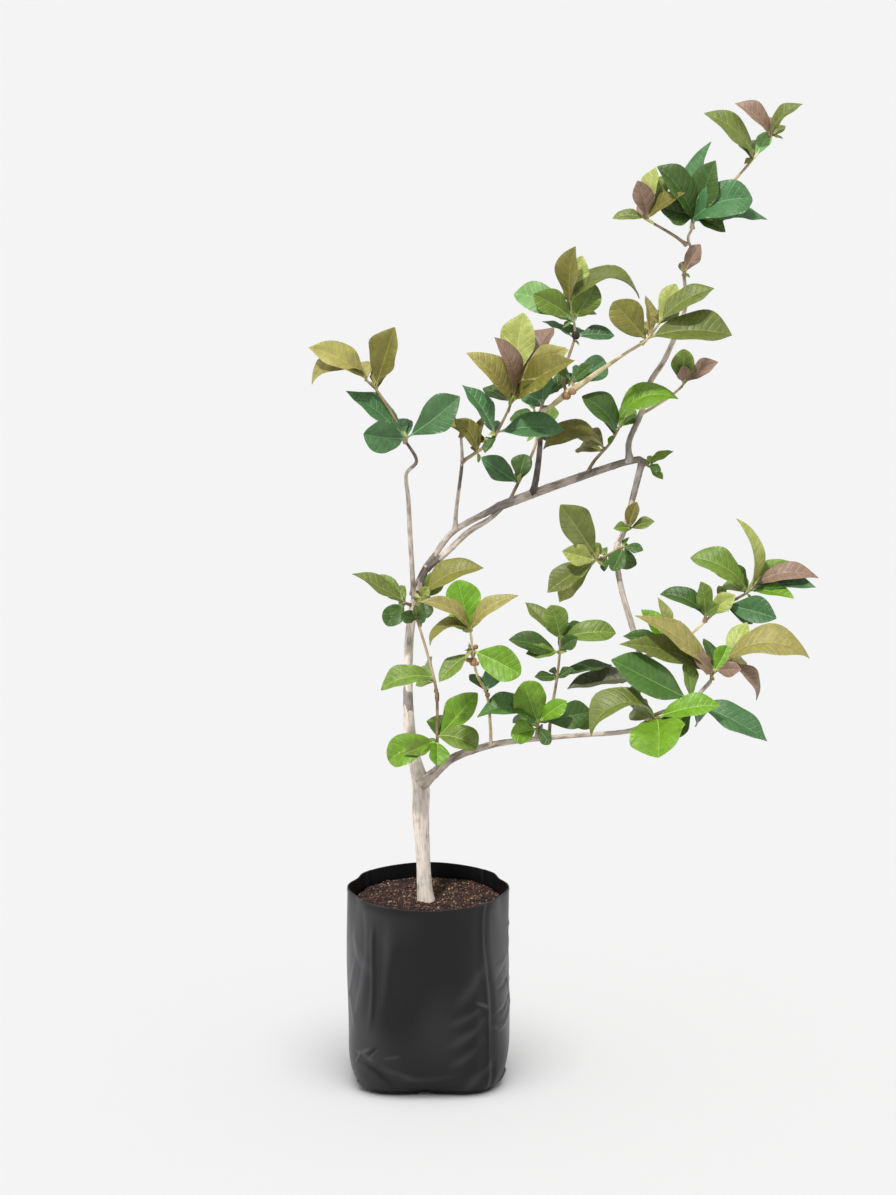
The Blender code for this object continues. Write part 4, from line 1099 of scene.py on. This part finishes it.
def leafMaterials(name, upperHex, underHex, ribHex):
    # a waxy skin over the blade: satin, mottled, each leaf a shade of its own, with slanting side
    # veins that are a little paler and sunk, over fine pebbles
    shade = []
    for part, hexText, roughness in (("upper face", upperHex, 0.4), ("underside", underHex, 0.65)):
        made, tree, shader = newMaterial(f"{name} hawthorn leaf, {part}", hexText, roughness)
        grain = addNode(tree, "ShaderNodeAttribute", attribute_name="grain")
        cut = addNode(tree, "ShaderNodeSeparateXYZ", {"Vector": grain.outputs["Vector"]})
        mottle = addNode(
            tree, "ShaderNodeTexNoise",
            {"Vector": grain.outputs["Vector"], "Scale": 1 / (foliage["mottle"] * mm), "Detail": 5.0,
             "Roughness": 0.62},
        )
        # side veins: (0.5 + 0.5 * sin(2 pi * (along - 0.75 * distance from the midrib) / step)) ** 9
        aside = addNode(tree, "ShaderNodeMath", {0: cut.outputs["X"]}, operation="ABSOLUTE")
        slant = addNode(
            tree, "ShaderNodeMath", {0: aside.outputs["Value"], 1: -0.75, 2: cut.outputs["Y"]},
            operation="MULTIPLY_ADD",
        )
        beat = addNode(
            tree, "ShaderNodeMath",
            {0: slant.outputs["Value"], 1: 2 * math.pi / (foliage["veinStep"] * mm)}, operation="MULTIPLY",
        )
        wave = addNode(tree, "ShaderNodeMath", {0: beat.outputs["Value"]}, operation="SINE")
        half = addNode(
            tree, "ShaderNodeMath", {0: wave.outputs["Value"], 1: 0.5, 2: 0.5}, operation="MULTIPLY_ADD"
        )
        vein = addNode(tree, "ShaderNodeMath", {0: half.outputs["Value"], 1: 9.0}, operation="POWER")
        # the colour's value: mottling, paler on the veins, times the leaf's own shade
        mottled = addNode(
            tree, "ShaderNodeMapRange",
            {"Value": mottle.outputs["Fac"], "From Min": 0.28, "From Max": 0.72,
             "To Min": 0.76, "To Max": 1.2},
        )
        veined = addNode(
            tree, "ShaderNodeMath", {0: vein.outputs["Value"], 1: 0.16, 2: mottled.outputs["Result"]},
            operation="MULTIPLY_ADD",
        )
        own = addNode(tree, "ShaderNodeTexWhiteNoise", {"W": cut.outputs["Z"]}, noise_dimensions="1D")
        ownValue = addNode(
            tree, "ShaderNodeMapRange", {"Value": own.outputs["Value"], "To Min": 0.86, "To Max": 1.1}
        )
        ownHue = addNode(
            tree, "ShaderNodeMapRange", {"Value": own.outputs["Value"], "To Min": 0.49, "To Max": 0.504}
        )
        value = addNode(
            tree, "ShaderNodeMath", {0: veined.outputs["Value"], 1: ownValue.outputs["Result"]},
            operation="MULTIPLY",
        )
        tint = addNode(
            tree, "ShaderNodeHueSaturation",
            {"Hue": ownHue.outputs["Result"], "Value": value.outputs["Value"], "Color": linear(hexText)},
        )
        pebble = addNode(
            tree, "ShaderNodeTexNoise",
            {"Vector": grain.outputs["Vector"], "Scale": 1 / (foliage["pebble"] * mm), "Detail": 2.0},
        )
        height = addNode(
            tree, "ShaderNodeMath", {0: vein.outputs["Value"], 1: -0.8, 2: pebble.outputs["Fac"]},
            operation="MULTIPLY_ADD",
        )
        bump = addNode(
            tree, "ShaderNodeBump", {"Height": height.outputs["Value"], "Strength": 0.75, "Distance": 0.0006}
        )
        setInputs(tree, shader, {
            "Base Color": tint.outputs["Color"], "Normal": bump.outputs["Normal"],
            "Specular IOR Level": 0.42,
        })
        shade.append(made)
    rib, tree, shader = newMaterial(f"{name} hawthorn leaf, midrib and stalk", ribHex, 0.6)
    setInputs(tree, shader, {"Specular IOR Level": 0.3})
    return shade + [rib]


def budSkin(base, way, length, kind):
    # a pointed egg: radius = 0.34 * length * sin(pi * place ** 0.7)
    place = np.linspace(0.03, 0.97, 6)[:, None]
    turn = np.linspace(0, 2 * math.pi, 7, endpoint=False)[None, :]
    way = way / np.linalg.norm(way)
    side = np.cross(way, (0.31, 0.9, 0.2))
    side /= np.linalg.norm(side)
    other = np.cross(way, side)
    radius = 0.34 * length * np.sin(np.pi * place**0.7)
    grid = (
        base + (place * length)[..., None] * way
        + (radius * np.cos(turn))[..., None] * side + (radius * np.sin(turn))[..., None] * other
    )
    return ringSkin(grid, kind, grid)


def pointNear(path, place, offset):
    # the path's point at a share of it, moved by some points and kept five points from its ends
    index = int(min(max(place * (len(path) - 1) + offset, 5), len(path) - 5))
    return path[index, :3]


def makeFoliage():
    materials = []
    for name, (upperHex, underHex, ribHex) in tints.items():
        materials += leafMaterials(name, upperHex, underHex, ribHex)
    # spurs have tan bark, young stems the straw bark, and dry brown scales cover the buds, satin
    twigBarks = [
        barkMaterial("tan bark of spurs", "#b09a7c", "#917c60", "#5f4f3c", 0.75),
        barks[2],
        newMaterial("brown bud scales", "#6b4a34", 0.6)[0],
    ]
    numbers = {name: index for index, name in enumerate(tints)}
    leaves, behind, young, twigs = [], [], [], []
    for name, (stem, knots) in sprays.items():
        luck = random.Random(name)
        radii = np.linspace(*foliage["stemRadii"], len(stem))
        points = np.column_stack([np.array(stem, float), radii])
        whole = smoothPath(points, foliage["fineStep"])
        kind = 1 if name in foliage["youngStems"] else 0
        twigs.append(woodSkin(name, points, kind, foliage["stemAround"], foliage["stemRelief"], True))
        fine = random.Random(name + " fine")
        for place, fan in knots:
            for rank, (clock, lean, length, shape, tint) in enumerate(fan):
                base = pointNear(whole, place, (rank - (len(fan) - 1) / 2) * foliage["leafStep"])
                draw = random.Random(luck.random())
                rows = foliage["rowsLong" if length > foliage["longFrom"] else "rowsShort"]
                leaves.append(leafSkin(base, (clock, lean, length, shape), numbers[tint], draw, rows))
                chord = leafFrame(clock, lean, 0)[0]
                twigs.append(budSkin(base + 0.8 * chord, chord + (0, 0, 0.6), foliage["budLength"], 2))
            for _ in range(foliage["backPerKnot"]):
                # a leaf behind one of the fan's own, so that the spray is as full seen from the back
                front = fine.choice(fan)
                length = float(np.clip(fine.uniform(0.6, 0.8) * front[2], 16, 52))
                row = (front[0] + fine.uniform(-20, 20), fine.uniform(-80, -60), length, "oval")
                base = pointNear(whole, place, fine.uniform(-9, 9))
                behind.append(leafSkin(base, row, numbers[front[4]], fine, foliage["rowsBack"]))
            for _ in range(foliage["youngPerKnot"]):
                clock = fan[0][0] + fine.uniform(-170, 170)
                lean = fine.uniform(-50, 50)
                row = (clock, lean, fine.uniform(9, 17), "slim")
                tint = fine.choice(foliage["youngTints"])
                base = pointNear(whole, place, fine.uniform(-6, 6))
                young.append(leafSkin(base, row, numbers[tint], fine, foliage["rowsYoung"]))
    makePiece("leaves", leaves, materials, list(sprays), 70)
    makePiece("back_leaves", behind, materials, list(sprays), 70)
    makePiece("young_leaves", young, materials, list(sprays), 70)
    makePiece("twigs_and_buds", twigs, twigBarks, list(sprays), 60)


makeFoliage()
print("hawthorn: leaves, twigs and buds")
